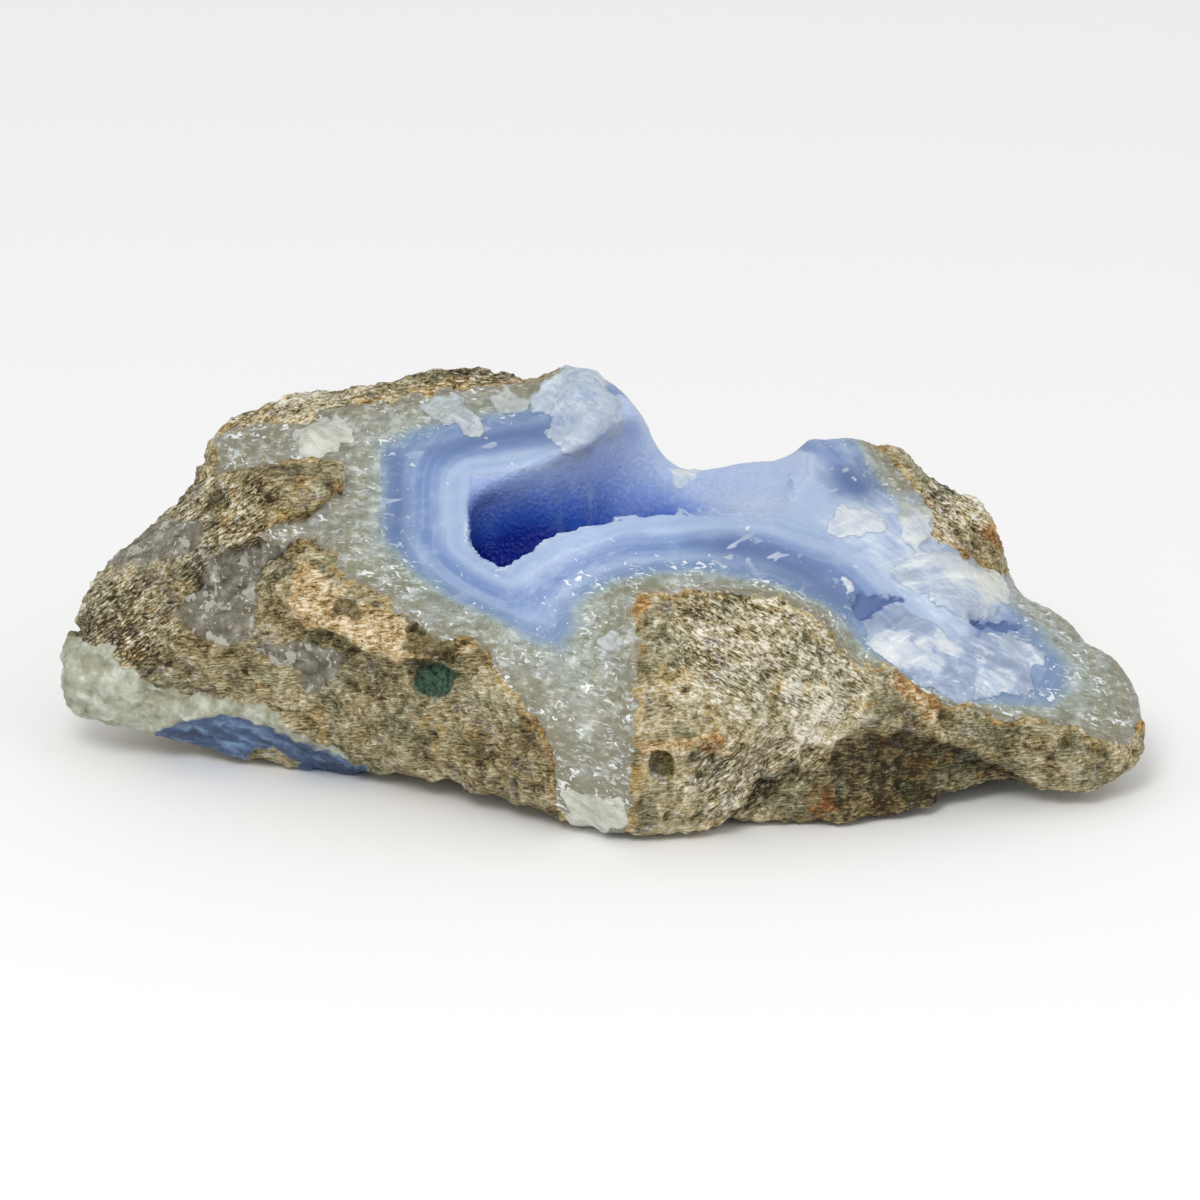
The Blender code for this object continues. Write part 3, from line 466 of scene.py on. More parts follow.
def from_hollow(points):
    """How far points lie outside the wall of the hollow, how far below its mouth, and how near
    its lip (-1) or its top edge (1)."""
    flat = np.array([(at, *lip, *top, deep) for at, lip, top, deep in HOLLOW])
    across = points[:, 0]
    lip_depth, lip_rise, top_depth, top_rise, deep = (
        np.interp(across, flat[:, 0], flat[:, i]) for i in range(1, 6)
    )
    lip_height = (lip_rise - lip_depth * math.sin(TILT)) / math.cos(TILT)
    top_height = (top_rise - top_depth * math.sin(TILT)) / math.cos(TILT)
    lip, top = np.stack([lip_depth, lip_height], axis=1), np.stack([top_depth, top_height], axis=1)
    along = (top - lip) / 2
    half = np.linalg.norm(along, axis=1)
    along /= half[:, None]
    out = np.stack([-along[:, 1], along[:, 0]], axis=1)
    below = -((points[:, 1:] - (lip + top) / 2) * out).sum(1)
    away = points[:, 1:] - ((lip + top) / 2 - out * SINK * deep[:, None])
    away += along * (LEAN * np.maximum(below, 0))[:, None]
    reach = np.hypot((away * along).sum(1) / (SPREAD * half), (away * out).sum(1) / (BELLY * deep))
    outside = np.linalg.norm(away, axis=1) * (1 - 1 / np.maximum(reach, 0.05))
    outside -= WALL_WANDER * sampled(points, WALL_LUMP)
    ends = np.maximum(HOLLOW_ENDS[0] - across, across - HOLLOW_ENDS[1])
    return np.maximum(outside, ends), below, (away * along).sum(1) / half


def loft(rings):
    """A closed skin through rings of equally many points, made by extruding the first ring."""
    bm = bmesh.new()
    verts = [bm.verts.new(point) for point in rings[0]]
    edges = [bm.edges.new((a, b)) for a, b in zip(verts, verts[1:] + verts[:1])]
    bmesh.ops.edgeloop_fill(bm, edges=edges)
    for ring in rings[1:]:
        made = bmesh.ops.extrude_edge_only(bm, edges=edges)["geom"]
        fresh = {item for item in made if isinstance(item, bmesh.types.BMVert)}
        edges = [e for e in made if isinstance(e, bmesh.types.BMEdge) and set(e.verts) <= fresh]
        verts = [
            next(e.other_vert(v) for e in v.link_edges if e.other_vert(v) in fresh) for v in verts
        ]
        for vert, point in zip(verts, ring):
            vert.co = point
    bmesh.ops.edgeloop_fill(bm, edges=edges)
    bmesh.ops.recalc_face_normals(bm, faces=bm.faces)
    return bm


def hollow_lining():
    """The body that the crystals stand on, from the bare hollow's wall to the one seen here."""
    rings = []
    for across in np.linspace(-17.5, 29.5, 48):
        rings.append([seen(across, *table_at(edge, across)) for edge in FACE_EDGES])
    lump = object_from(loft(rings), "broken_lump")
    bare = hollow_rings(BARE_HOLLOW, -BARE_HOLLOW_REACH, 0, 48, 0.6, BARE_HOLLOW_ENDS)
    lining = object_from(loft(bare), "lining")
    hollow = object_from(loft(hollow_rings(HOLLOW, 0, LEAN, 60, 0.5, HOLLOW_ENDS)), "hollow")
    cut(lining, lump, "INTERSECT")
    cut(lining, hollow, "DIFFERENCE")
    bpy.data.objects.remove(lump)
    bpy.data.objects.remove(hollow)
    return lining


def fine_stone():
    """A merged, finely remeshed copy of the CAD stone in drawn millimetres, finest in front."""
    bm = bmesh.new()
    bm.from_mesh(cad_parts["geode_stone"].data)
    bmesh.ops.remove_doubles(bm, verts=bm.verts, dist=1e-7)
    bmesh.ops.scale(bm, vec=(PER_METRE,) * 3, verts=bm.verts)
    bmesh.ops.translate(bm, vec=-DRAWN_TO_ROW, verts=bm.verts)
    lining = hollow_lining()
    bm.from_mesh(lining.data)
    bpy.data.objects.remove(lining)
    stone = object_from(bm, "agate_stone")
    apply_modifier(stone, "REMESH", mode="VOXEL", voxel_size=STONE_VOXEL)
    apply_modifier(stone, "SMOOTH", factor=0.5, iterations=2)
    bm = bmesh.new()
    bm.from_mesh(stone.data)
    sight = Vector(SIGHT)
    front = [face for face in bm.faces if face.normal.dot(sight) < 0.1]
    bmesh.ops.subdivide_edges(bm, edges=edges_of(front), cuts=1, use_grid_fill=True)
    bm.to_mesh(stone.data)
    bm.free()
    apply_modifier(stone, "SMOOTH", factor=0.5, iterations=3)
    return stone


def soften(mesh, values, weight, rounds):
    """Moves values at the points towards the mean of their neighbours', some rounds over."""
    ends = np.empty(len(mesh.edges) * 2, np.int32)
    mesh.edges.foreach_get("vertices", ends)
    here = np.concatenate([ends[0::2], ends[1::2]])
    there = np.concatenate([ends[1::2], ends[0::2]])
    count = np.bincount(here, minlength=len(values))
    for _ in range(rounds):
        near = [np.bincount(here, values[there, i], len(values)) for i in range(3)]
        values = values + (np.stack(near, axis=1) / count[:, None] - values) * weight[:, None]
    return values


def shape_mouth(mesh):
    """Rounds the top edge of the hollow and raises a short stretch of its front lip."""
    points = points_of(mesh)
    hollow, below, upper = from_hollow(points)
    top_edge = smooth_step((17.5 - points[:, 0]) / 3) * smooth_step(0.3 + upper)
    top_edge *= np.exp(-(((below - 0.5) / 3) ** 2) - (hollow / 3) ** 2)
    points = soften(mesh, points, top_edge, rounds=40)
    lip = bell(seen_from_front(points), LIP_PLACE, LIP_REACH)
    points[:, 2] += LIP_LIFT * lip * smooth_step((-1 - points[:, 1]) / 2)
    move_to(mesh, points)
    return points


def spots_mask(drawn, spots, softness, wander):
    """1 in the middle of roundish spots, 0 beyond their wandering edge."""
    mask = np.zeros(len(drawn))
    for centre, radius in spots:
        away = (np.linalg.norm(drawn - centre, axis=1) + wander) / radius
        mask = np.maximum(mask, smooth_step((1 + softness - away) / softness))
    return mask


def hollow_zones(points, drawn, facing):
    """Where crystals grow, how dusky it is there (painted shade, with the stone's deeper blue), and how
    near the lip or the top edge is.
    """
    hollow, below, upper = from_hollow(points)
    lilac_wall = smooth_step(0.6 + depth_into(drawn, LILAC_WALL) / 2.4) * facing
    druse = np.maximum(smooth_step(0.75 - hollow), lilac_wall * smooth_step(4 - hollow))
    dusk = np.array(DUSK)
    top, reach = (np.interp(drawn[:, 0], dusk[:, 0], dusk[:, i]) for i in (1, 2))
    gloom = np.clip((top - drawn[:, 1]) / reach, 0, 1)
    gloom *= np.maximum(smooth_step(0.2 + below / 1.5), smooth_step(0.5 + upper))
    lobe = smooth_step((8 - drawn[:, 0]) / 4)
    gloom = np.maximum(gloom, lilac_wall * (0.12 - 0.04 * lobe))
    mouth = np.exp(-(((below - 0.3) / 1.1) ** 2)) * np.clip(0.7 - points[:, 0] / 9, 0, 1)
    mouth *= smooth_step((0.9 - hollow) / 0.7) * smooth_step(0.6 - upper)
    mouth -= np.exp(-np.maximum(below, 0) / 2.5) * smooth_step(0.4 + upper)
    return {"druse": druse, "gloom": gloom, "mouth": mouth}


def face_zones(points, drawn, facing, wander, druse):
    """The broken face, its bands and plates, and the arcs in which the plates broke."""
    to_edge = depth_into(drawn, BROKEN_FACE)
    to_mouth = np.minimum(
        distance_to(drawn, MOUTH), distance_to(drawn, CLOSING_LINE, closed=False) + 0.6
    )
    to_mouth[inside(drawn, MOUTH)] = 0
    to_blue = depth_into(drawn, BLUE_EDGE)
    blue = to_mouth / np.maximum(to_mouth + np.maximum(to_blue, 0), 0.01)
    outer = -to_blue / np.maximum(-to_blue + np.maximum(to_edge, 0), 0.01)

    plate, light, cream = np.full(len(points), -9.0), np.zeros(len(points)), np.zeros(len(points))
    across, rise = drawn.T
    slanting = np.stack(
        [(across * 0.8 - rise * 0.6) / 3, points[:, 1] / 3, across * 0.6 + rise * 0.8], axis=1
    )
    rough_edge = 0.7 * sampled(slanting, 1.0) + 0.35 * sampled(points + 8, 0.7)
    for outline, lightness, creamy in PLATES:
        depth = depth_into(drawn, outline) + rough_edge
        plate = np.maximum(plate, depth)
        share = smooth_step(1 + (0.9 if lightness > 0.65 else 1.7) * depth)
        light += (lightness - light) * share
        cream += (creamy - cream) * share
    from_break = drawn - BREAK_START
    return {
        "face": np.maximum(soft_edge(to_edge + wander, 6) * facing, smooth_step(druse * 1.4)),
        "band": np.where(to_blue > 0, blue, 1 + np.clip(outer, 0, 1)),
        "to_mouth": to_mouth,
        "around": along_line(drawn, MOUTH),
        "plate": soft_edge(plate, 2) * facing,
        "light": light,
        "cream": cream,
        "hole": soft_edge(depth_into(drawn, *BLUE_HOLES) + rough_edge, 2) * facing,
        "haze": soft_edge(depth_into(drawn, HAZE), 5) * facing,
        "dusky": soft_edge(depth_into(drawn, *DARK_BLUE), 5) * facing,
        "fracture": np.linalg.norm(from_break, axis=1),
        "swept": 14 * np.arctan2(from_break[:, 0], from_break[:, 1]),
    }


def rind_zones(drawn, facing, wander, normals):
    """What breaks up the rind, and where its fibres show and which way they run."""
    under = soft_edge(depth_into(drawn, BLUE_UNDERSIDE) + 0.5 * wander, 3)
    vesicle = spots_mask(drawn, VESICLE, 0.3, 0.4 * wander) * facing
    woven, upward, downward = (np.zeros(len(drawn)) for _ in range(3))
    for centre, radius, way in FIBRES:
        away = np.linalg.norm(drawn - centre, axis=1) / radius + 0.15 * wander
        share = smooth_step(1.5 - away)
        woven = np.maximum(woven, share)
        upward = np.maximum(upward, share) if way > 0 else upward * (1 - share)
        downward = np.maximum(downward, share) if way < 0 else downward * (1 - share)
    return {
        "quartz": soft_edge(depth_into(drawn, *QUARTZ_FACETS) + wander, 4) * facing,
        "ochre": soft_edge(depth_into(drawn, *OCHRE_PATCHES) + wander, 4) * facing,
        "clear": soft_edge(depth_into(drawn, CLEAR_CHUNK) + 0.6 * wander, 3) * facing,
        "under": under * smooth_step(-normals @ SIGHT * 4 + 1.4),
        "vesicle": vesicle * smooth_step(0.5 + (10.4 - drawn[:, 1]) / 0.8),
        "pits": spots_mask(drawn, DARK_PITS, 0.8, 1.2 * wander) * facing,
        "rust": spots_mask(drawn, RUST_SPOTS, 0.8, wander),
        "woven": woven,
        "upward": upward,
        "downward": downward,
    }


def ledges(drawn, facing, wander):
    """How high the ledges stand, and how much painted shadow they leave below them and painted light along
    their upper edge.
    """
    steps, tone = np.zeros(len(drawn)), np.zeros(len(drawn))
    for line, height, reach_up, reach_down in LEDGES:
        above = beyond_line(drawn, line) + 0.9 * wander
        side = smooth_step(0.5 + above / 0.8)
        fade = np.exp(-np.where(above > 0, above / reach_up, -above / reach_down))
        steps += height * fade * (0.35 * side - 0.65 * (1 - side)) * facing
        # Painted shadow just below each ledge, and painted light along its upper edge
        tone -= 0.2 * max(height, 0) * np.exp(-(((above + 1) / 1.4) ** 2))
        tone += 0.1 * max(height, 0) * np.exp(-(((above - 0.9) / 0.9) ** 2))
    return steps, tone


def face_relief(points, zones):
    """How high the broken face stands: its chips, its rippled plates and the holes among them."""
    shells = sampled(points + 70, SHELL_SIZE, to_seed)
    stony = smooth_step((zones["band"] - 0.9) / 0.3)
    relief = SHELL_HEIGHT * shells + 0.2 * sampled(points, 6) - 0.08
    relief += stony * 0.2 * ridges(points + 5, 1.2) + FACE_GRIT * sampled(points + 5, 0.9)
    raised = smooth_step((zones["plate"] - 0.42) / 0.2)
    ripple = 0.5 + 0.5 * np.sin(RIPPLES_PER_MM * zones["fracture"] + 2.5 * sampled(points, 6))
    relief += raised * (0.05 + 0.14 * shells + RIPPLE_HEIGHT * ripple + 0.06 * zones["light"])
    return relief - HOLE_DEPTH * smooth_step((zones["hole"] - 0.42) / 0.16)


def carve_stone(stone):
    """Gives the rind its grain and pores and the broken face its chips, and marks the zones."""
    mesh = stone.data
    points = shape_mouth(mesh)
    normals = np.array([normal.vector for normal in mesh.vertex_normals])
    drawn = seen_from_front(points)
    broad = soften(mesh, normals, np.full(len(points), 0.9), rounds=30)
    broad /= np.maximum(np.linalg.norm(broad, axis=1), 0.01)[:, None]
    facing = smooth_step(-broad @ SIGHT * 3 + 1.3)
    wander = 0.6 * sampled(points, 2.2) + 0.35 * sampled(points, 0.9)
    zones = hollow_zones(points, drawn, facing)
    zones |= face_zones(points, drawn, facing, wander, zones["druse"])
    zones |= rind_zones(drawn, facing, wander, normals)

    # The rind's tone with painted light and shade: the ledges' painted shadows and lit edges, the
    # undercut, the lumps and the top crust
    steps, tone = ledges(drawn, facing, wander)
    tone += sum(amount * bell(drawn, centre, radius) for centre, radius, amount in RIND_TONES_AND_SHADE)
    crests = sum(height * ridges(points + shift, size) for height, size, shift in RIND_CRESTS)
    crests += RIND_GRIT * sampled(points + 40, 0.5)
    pores = smooth_step(1 - sampled(points, PORE_SPACING, to_seed) / PORE_RADIUS)
    pores *= sampled(points + 9, 3.0) > 0
    ochre_pores = sampled(points + 3, OCHRE_PORE_SPACING, to_seed) / OCHRE_PORE_RADIUS
    rock = crests + steps - 0.1 - PORE_DEPTH * pores
    rock -= OCHRE_PORE_DEPTH * zones["ochre"] * smooth_step(1 - ochre_pores)
    rock -= PIT_DEPTH * zones["pits"] + VESICLE_DEPTH * zones["vesicle"]
    chalcedony = smooth_step((zones["face"] - 0.44) / 0.12)
    relief = rock * (1 - chalcedony) + face_relief(points, zones) * chalcedony
    swell = sum(height * bell(drawn, centre, reach) for centre, reach, height in SWELLINGS)
    points += normals * (relief * (1 - 0.85 * zones["druse"]) + swell * facing)[:, None]
    points[:, 2] = np.maximum(points[:, 2], 0)

    zones["tone"] = 0.5 + tone
    # Lighter on the crests and darker in the pores: painted light and shade that follow the relief
    zones["height"] = np.clip(0.5 + 0.55 * crests - 0.6 * pores, 0, 1)
    for name, values in zones.items():
        attribute = mesh.attributes.new(name, "FLOAT", "POINT")
        attribute.data.foreach_set("value", np.asarray(values, np.float32))
    move_to(mesh, points)


def keep_largest_piece(bm):
    """Removes what isn't joined to the largest stretch of faces."""
    left = set(bm.faces)
    pieces = []
    while left:
        front, piece = [left.pop()], set()
        while front:
            face = front.pop()
            piece.add(face)
            near = {f for e in face.edges if e.is_manifold for f in e.link_faces} & left
            left -= near
            front += near
        pieces.append(piece)
    largest = max(pieces, key=len)
    bmesh.ops.delete(bm, geom=[f for f in bm.faces if f not in largest], context="FACES")


def crystal_crust(stone):
    """Small pointed crystals over the wall of the hollow, sinking into the stone at their edge."""
    bm = bmesh.new()
    bm.from_mesh(stone.data)
    druse, mouth = bm.verts.layers.float["druse"], bm.verts.layers.float["mouth"]
    bare = [face for face in bm.faces if min(vert[druse] for vert in face.verts) < 0.02]
    bmesh.ops.delete(bm, geom=bare, context="FACES")
    keep_largest_piece(bm)
    bm.normal_update()
    root = list(bm.verts)
    sunk = [vert.co - vert.normal * CRUST_THICKNESS for vert in root]
    made = bmesh.ops.extrude_face_region(bm, geom=bm.faces[:], use_keep_orig=True)["geom"]
    for vert, place in zip(root, sunk):
        vert.co = place
    skin = [item for item in made if isinstance(item, bmesh.types.BMFace)]
    bmesh.ops.subdivide_edges(bm, edges=edges_of(skin), cuts=1, use_grid_fill=True)
    slack = [vert for vert in bm.verts if len(vert.link_edges) == 2]
    bmesh.ops.dissolve_verts(bm, verts=slack)
    buried = set(root)
    verts = [vert for vert in bm.verts if vert not in buried]
    axes = {"use_axis_x": True, "use_axis_y": True, "use_axis_z": True}
    bmesh.ops.smooth_vert(bm, verts=verts, factor=0.4, **axes)
    bmesh.ops.recalc_face_normals(bm, faces=bm.faces)
    bm.normal_update()
    moves = []
    for vert in verts:
        point = max(0, 1 - to_seed(vert.co / CRYSTAL_SIZE) / CRYSTAL_RADIUS)
        tall = 0.75 + 0.5 * noise.noise(vert.co / 1.3)
        height = CRYSTAL_HEIGHT * (1 + 0.8 * min(vert[mouth], 0)) + TEETH * max(vert[mouth], 0)
        height = height * point * tall + 0.03 * noise.noise(vert.co / 0.2)
        moves.append(vert.normal * (vert[druse] * (CRUST_LIFT + height) - CRUST_EDGE_SUNK))
    for vert, move in zip(verts, moves):
        vert.co += move
    return object_from(bm, "druse")


def tint(code):
    """A colour from its web code, as the light that it sends back."""
    parts = [int(code[i:i + 2], 16) / 255 for i in (0, 2, 4)]
    return (*(((p + 0.055) / 1.055) ** 2.4 if p > 0.04 else p / 12.92 for p in parts), 1)


class Value:
    """A socket of a shader. Arithmetic on it adds the nodes that work it out."""

    def __init__(self, look, socket):
        self.look, self.socket = look, socket

    def math(self, operation, *others):
        sockets = dict(enumerate((self, *others)))
        return self.look.add("Math", {"operation": operation}, sockets)

    def __add__(self, other):
        return self.math("ADD", other)

    def __sub__(self, other):
        return self.math("SUBTRACT", other)

    def __rsub__(self, other):
        return self.math("MULTIPLY_ADD", -1.0, other)

    def __mul__(self, other):
        return self.math("MULTIPLY", other)

    __radd__, __rmul__ = __add__, __mul__

    def between(self, low, high):
        """0 below low, 1 above high, and a soft step from one to the other."""
        settings = {"interpolation_type": "SMOOTHSTEP"}
        return self.look.add("MapRange", settings, {0: self, 1: low, 2: high})


class Look:
    """A material and its nodes. A colour is given by its web code."""

    def __init__(self, name):
        self.material = bpy.data.materials.new(name)
        self.material.use_nodes = True
        self.tree = self.material.node_tree
        self.tree.nodes.clear()
        place = self.add("TexCoord", out="Object")
        self.at = self.add("VectorMath", {"operation": "SCALE"}, {0: place, "Scale": PER_METRE})

    def add(self, kind, settings=(), sockets=(), out=0):
        """A node by its type, its settings and its sockets' values or links. Gives one output."""
        node = self.tree.nodes.new("ShaderNode" + kind)
        for name, value in dict(settings).items():
            if name == "stops":
                self.set_stops(node.color_ramp.elements, value)
            else:
                setattr(node, name, value)
        for name, value in dict(sockets).items():
            if isinstance(value, Value):
                self.tree.links.new(value.socket, node.inputs[name])
            else:
                node.inputs[name].default_value = tint(value) if isinstance(value, str) else value
        return Value(self, node.outputs[out])

    def set_stops(self, elements, stops):
        while len(elements) < len(stops):
            elements.new(0.5)
        for element, (position, colour) in zip(elements, stops):
            element.position = position
            element.color = tint(colour)

    def zone(self, name):
        return self.add("Attribute", {"attribute_name": name}, out="Fac")

    def noise(self, size, detail=3, roughness=0.55, stretch=(1, 1, 1), distortion=0, turn=0):
        """Noise with lumps of about one size in millimetres, stretched along turned axes."""
        at = self.at
        if turn:
            at = self.add("Mapping", (), {"Vector": at, "Rotation": (0, math.radians(turn), 0)})
        scale = tuple(1 / (size * part) for part in stretch)
        at = self.add("Mapping", (), {"Vector": at, "Scale": scale})
        return self.noise_at(at, Detail=detail, Roughness=roughness, Distortion=distortion)

    def noise_at(self, at, **sockets):
        return self.add("TexNoise", (), {"Vector": at, "Scale": 1.0, **sockets})

    def ramp(self, value, *stops):
        return self.add("ValToRGB", {"stops": stops}, {"Fac": value})

    def mix(self, share, first, second):
        settings = {"data_type": "RGBA", "clamp_factor": True}
        return self.add("Mix", settings, {0: share, 6: first, 7: second}, out=2)

    def layered(self, colour, *layers):
        """A colour with others laid over it in turn, each by its share."""
        for share, over in layers:
            colour = self.mix(share, colour, over)
        return colour

    def bump(self, height, distance, strength):
        return self.add("Bump", (), {"Height": height, "Distance": distance, "Strength": strength})

    def finish(self, shader):
        output = self.tree.nodes.new("ShaderNodeOutputMaterial")
        self.tree.links.new(shader.socket, output.inputs["Surface"])
        return self.material


def rock_colour(look, grain, fibres, ragged):
    """Fibrous, grainy rind in tan, olive and grey brown, with painted light on its crests and painted
    shade in its pores, under its ledges and in the undercut.
    """
    woven = look.zone("woven")
    # The relief adds painted light on the crests and painted shade in the pores; the tone adds the painted
    # shade and light of the ledges, the undercut and the lumps
    level = (grain - 0.5) * (woven * 1.2 + 1.9) + (look.zone("height") - 0.5) * 0.42
    level = level + look.zone("tone") * 0.34 + 0.33
    tan = look.ramp(
        level, (0.2, "342a16"), (0.36, "776846"), (0.5, "a59873"), (0.64, "cac1a4"), (0.8, "f3eee0")
    )
    olive = look.ramp(
        level, (0.2, "2a2614"), (0.38, "625d40"), (0.54, "928c6c"), (0.68, "b9b397"), (0.84, "e6e1cd")
    )
    grey = look.ramp(level, (0.2, "3a342c"), (0.4, "766f64"), (0.58, "a49e93"), (0.78, "e2dfd7"))
    gold = look.ramp(level, (0.2, "4c3512"), (0.44, "a88748"), (0.62, "cfb47c"), (0.8, "f2e3bd"))
    rust = look.ramp(level, (0.2, "432712"), (0.46, "92683a"), (0.68, "cfaa72"))
    broad = look.noise(6, 3, 0.6)
    patches = look.noise(2.6, 3, 0.65, distortion=0.5)
    moss = look.noise(1.4, 3, 0.6, distortion=0.6)
    golden = look.noise(3.6, 3, 0.6, distortion=0.4)
    rind_edge = (look.zone("face") + ragged * 0.6).between(0.3, 0.44)
    warm = golden.between(0.56, 0.68) * 0.5 + rind_edge * patches.between(0.4, 0.55) * 0.6
    return look.layered(
        tan, (broad.between(0.45, 0.58), olive), (patches.between(0.55, 0.66) * 0.75, grey),
        (moss.between(0.55, 0.68) * 0.3, "5a4c1e"), (warm, gold),
        (look.zone("rust") * golden.between(0.36, 0.52), rust),
        (fibres.between(0.42, 0.26) * woven * 0.6, "33290f"),
        (fibres.between(0.56, 0.72) * woven * 0.55, "f1ebd9"),
    )


def banding(look):
    """Blue bands that follow the hollow, turning grey and flecked towards the rind."""
    wander = (look.noise(4.5, 2) - 0.5) * 0.1 + (look.noise(1.1, 3) - 0.5) * 0.05
    band = look.zone("band") + wander
    bands = look.ramp(
        band * 0.5, (0.0, "a9bedb"), (0.1, "9eb3d4"), (0.15, "a7bbd9"), (0.2, "8ba2c9"),
        (0.25, "748ebd"), (0.29, "708bba"), (0.34, "889fc5"), (0.38, "92a7c8"), (0.42, "7890b5"),
        (0.46, "748dae"), (0.5, "8a9da9"), (0.58, "98a196"), (0.75, "949682"), (1.0, "887f67"),
    )
    lace_at = {0: look.zone("around") * 0.1, 1: look.zone("to_mouth") * 1.6}
    lace = look.noise_at(look.add("CombineXYZ", (), lace_at), Detail=1.0)
    mist = look.noise(1.6, 4, 0.65, (2, 1.5, 1))
    outer = band.between(0.9, 1.15)
    fibre = look.noise(0.55, 4, 0.7, (2.6, 1.6, 1), 0.3, -8)
    clouds = look.noise(2.4, 4, 0.65)
    return look.layered(
        bands, (lace.between(0.5, 0.7) * 0.12, "c9d8ee"), (lace.between(0.5, 0.32) * 0.12, "5f7cb0"),
        (mist.between(0.5, 0.68) * 0.22, "c4d3e8"),
        (fibre.between(0.52, 0.68) * outer * 0.8, "cdd2cb"),
        (fibre.between(0.5, 0.33) * outer * 0.75, "6e705c"),
        (clouds.between(0.5, 0.36) * outer * 0.55, "7c7a64"),
        (clouds.between(0.56, 0.7) * outer * 0.6, "c3c9c2"),
    )


def crystal_colour(look):
    """Lilac where light reaches the crystals, with small painted glints on some of them; deep blue far
    down the hollow, the stone's deeper blue with painted shade over it.
    """
    gloom = look.zone("gloom") + (look.noise(1.8, 3) - 0.5) * 0.08
    depths = look.ramp(
        gloom, (0.0, "c4d3ee"), (0.15, "acbee1"), (0.3, "93a9d8"), (0.45, "748ecb"),
        (0.6, "506fbd"), (0.8, "2450ac"), (1.0, "00218a"),
    )
    cells = look.add("TexVoronoi", (), {"Vector": look.at, "Scale": 2.6}, out="Color")
    grey = look.add("SeparateXYZ", (), {0: cells})
    lit = grey.between(0.55, 1.0) * gloom.between(1.0, 0.4) * 0.12
    return look.layered(depths, (lit, "c9d3ee"), (grey.between(0.4, 0.0) * 0.1, "3c58a4"))


def agate_colour(look):
    """All of the broken face: bands, flecks, plates, and the crystals' own colour."""
    spots = look.noise(0.62, 1, 0.5, (1.8, 1.3, 1), 1.2, -20)
    sparse = look.noise(2.6, 3) - 0.5
    edge = look.zone("band").between(0.5, 0.95)
    fleck = (spots + sparse * 0.45 + edge * 0.07).between(0.75, 0.775)
    wisps = look.noise(0.38, 2, 0.6, (3.2, 1.6, 1), 1.0, -14)
    wisp = (wisps + sparse * 0.35 + edge * 0.05).between(0.65, 0.74)
    dusky = look.zone("dusky").between(0.2, 0.85)
    marks = look.noise(0.7, 1, 0.5, (5, 3, 1), 0.4, 12).between(0.64, 0.7)

    ragged = (look.noise(0.8, 3, 0.6) - 0.5) * 0.2
    to_plate = look.zone("plate") + ragged
    plate = to_plate.between(0.47, 0.51)
    fracture = look.zone("fracture")
    arcs_at = {0: fracture * 1.3, 1: look.zone("swept") * 0.2}
    arcs = look.noise_at(look.add("CombineXYZ", (), arcs_at), Detail=5.0, Roughness=0.6)
    streaks = look.noise(0.8, 4, 0.6, (5, 2, 1), 0.4, -38)
    clouds = look.noise(2.6, 4, 0.6, (2, 1.5, 1), 0.3, -30)
    chips = look.noise(0.5, 3, 0.65, (4, 1.5, 1), 0.6, -34)
    feathered = fracture.between(26, 17) * 0.85 + 0.15
    lightness = look.zone("light") + (clouds - 0.5) * 0.7 + ragged * 0.8
    lightness = lightness + (arcs - 0.5) * feathered * 0.9 + (chips - 0.5) * 0.6
    white = look.ramp(
        lightness, (0.0, "8a98b3"), (0.25, "a5b2c9"), (0.42, "b6c3d6"), (0.47, "c4cfde"),
        (0.7, "d8dee2"), (1.0, "eceeec"),
    )
    creamy = look.ramp(
        lightness, (0.0, "8f9386"), (0.35, "b2b5a6"), (0.7, "d2d5c9"), (1.0, "e9e9df")
    )
    sheen = look.noise(4.5, 2).between(0.36, 0.54) * 0.25 + chips.between(0.36, 0.52) * 0.3 + 0.45
    haze = (look.zone("haze") + (clouds - 0.5) * 0.5).between(0.25, 0.75)
    haze_tint = look.ramp(
        streaks * 0.45 + arcs * 0.3 + chips * 0.25, (0.38, "9fb1cf"), (0.47, "b9c8de"),
        (0.55, "ced9e7"), (0.63, "e8eef3"),
    )
    colour = look.layered(
        banding(look), (fleck * 0.8, "eef1f1"), (wisp * edge * 0.6, "d5ddde"),
        (dusky * 0.9, "526b9a"), (marks * dusky * 0.7, "d5deea"), (haze * 0.8, haze_tint),
        (plate * sheen, look.mix(look.zone("cream"), white, creamy)),
        # A thin painted highlight along the edges of the plates
        (to_plate.between(0.5, 0.47) * plate * 0.3, "e9eef2"),
        (arcs.between(0.57, 0.66) * plate * feathered * 0.6, "eaf0f5"),
        ((look.zone("hole") + ragged).between(0.46, 0.52), "6079a9"),
        (look.zone("druse").between(0.15, 0.75) * (1 - plate), crystal_colour(look)),
        (look.zone("mouth").between(0.1, 0.7) * spots.between(0.4, 0.6) * 0.7, "dbe5f2"),
    )
    return colour, plate, arcs


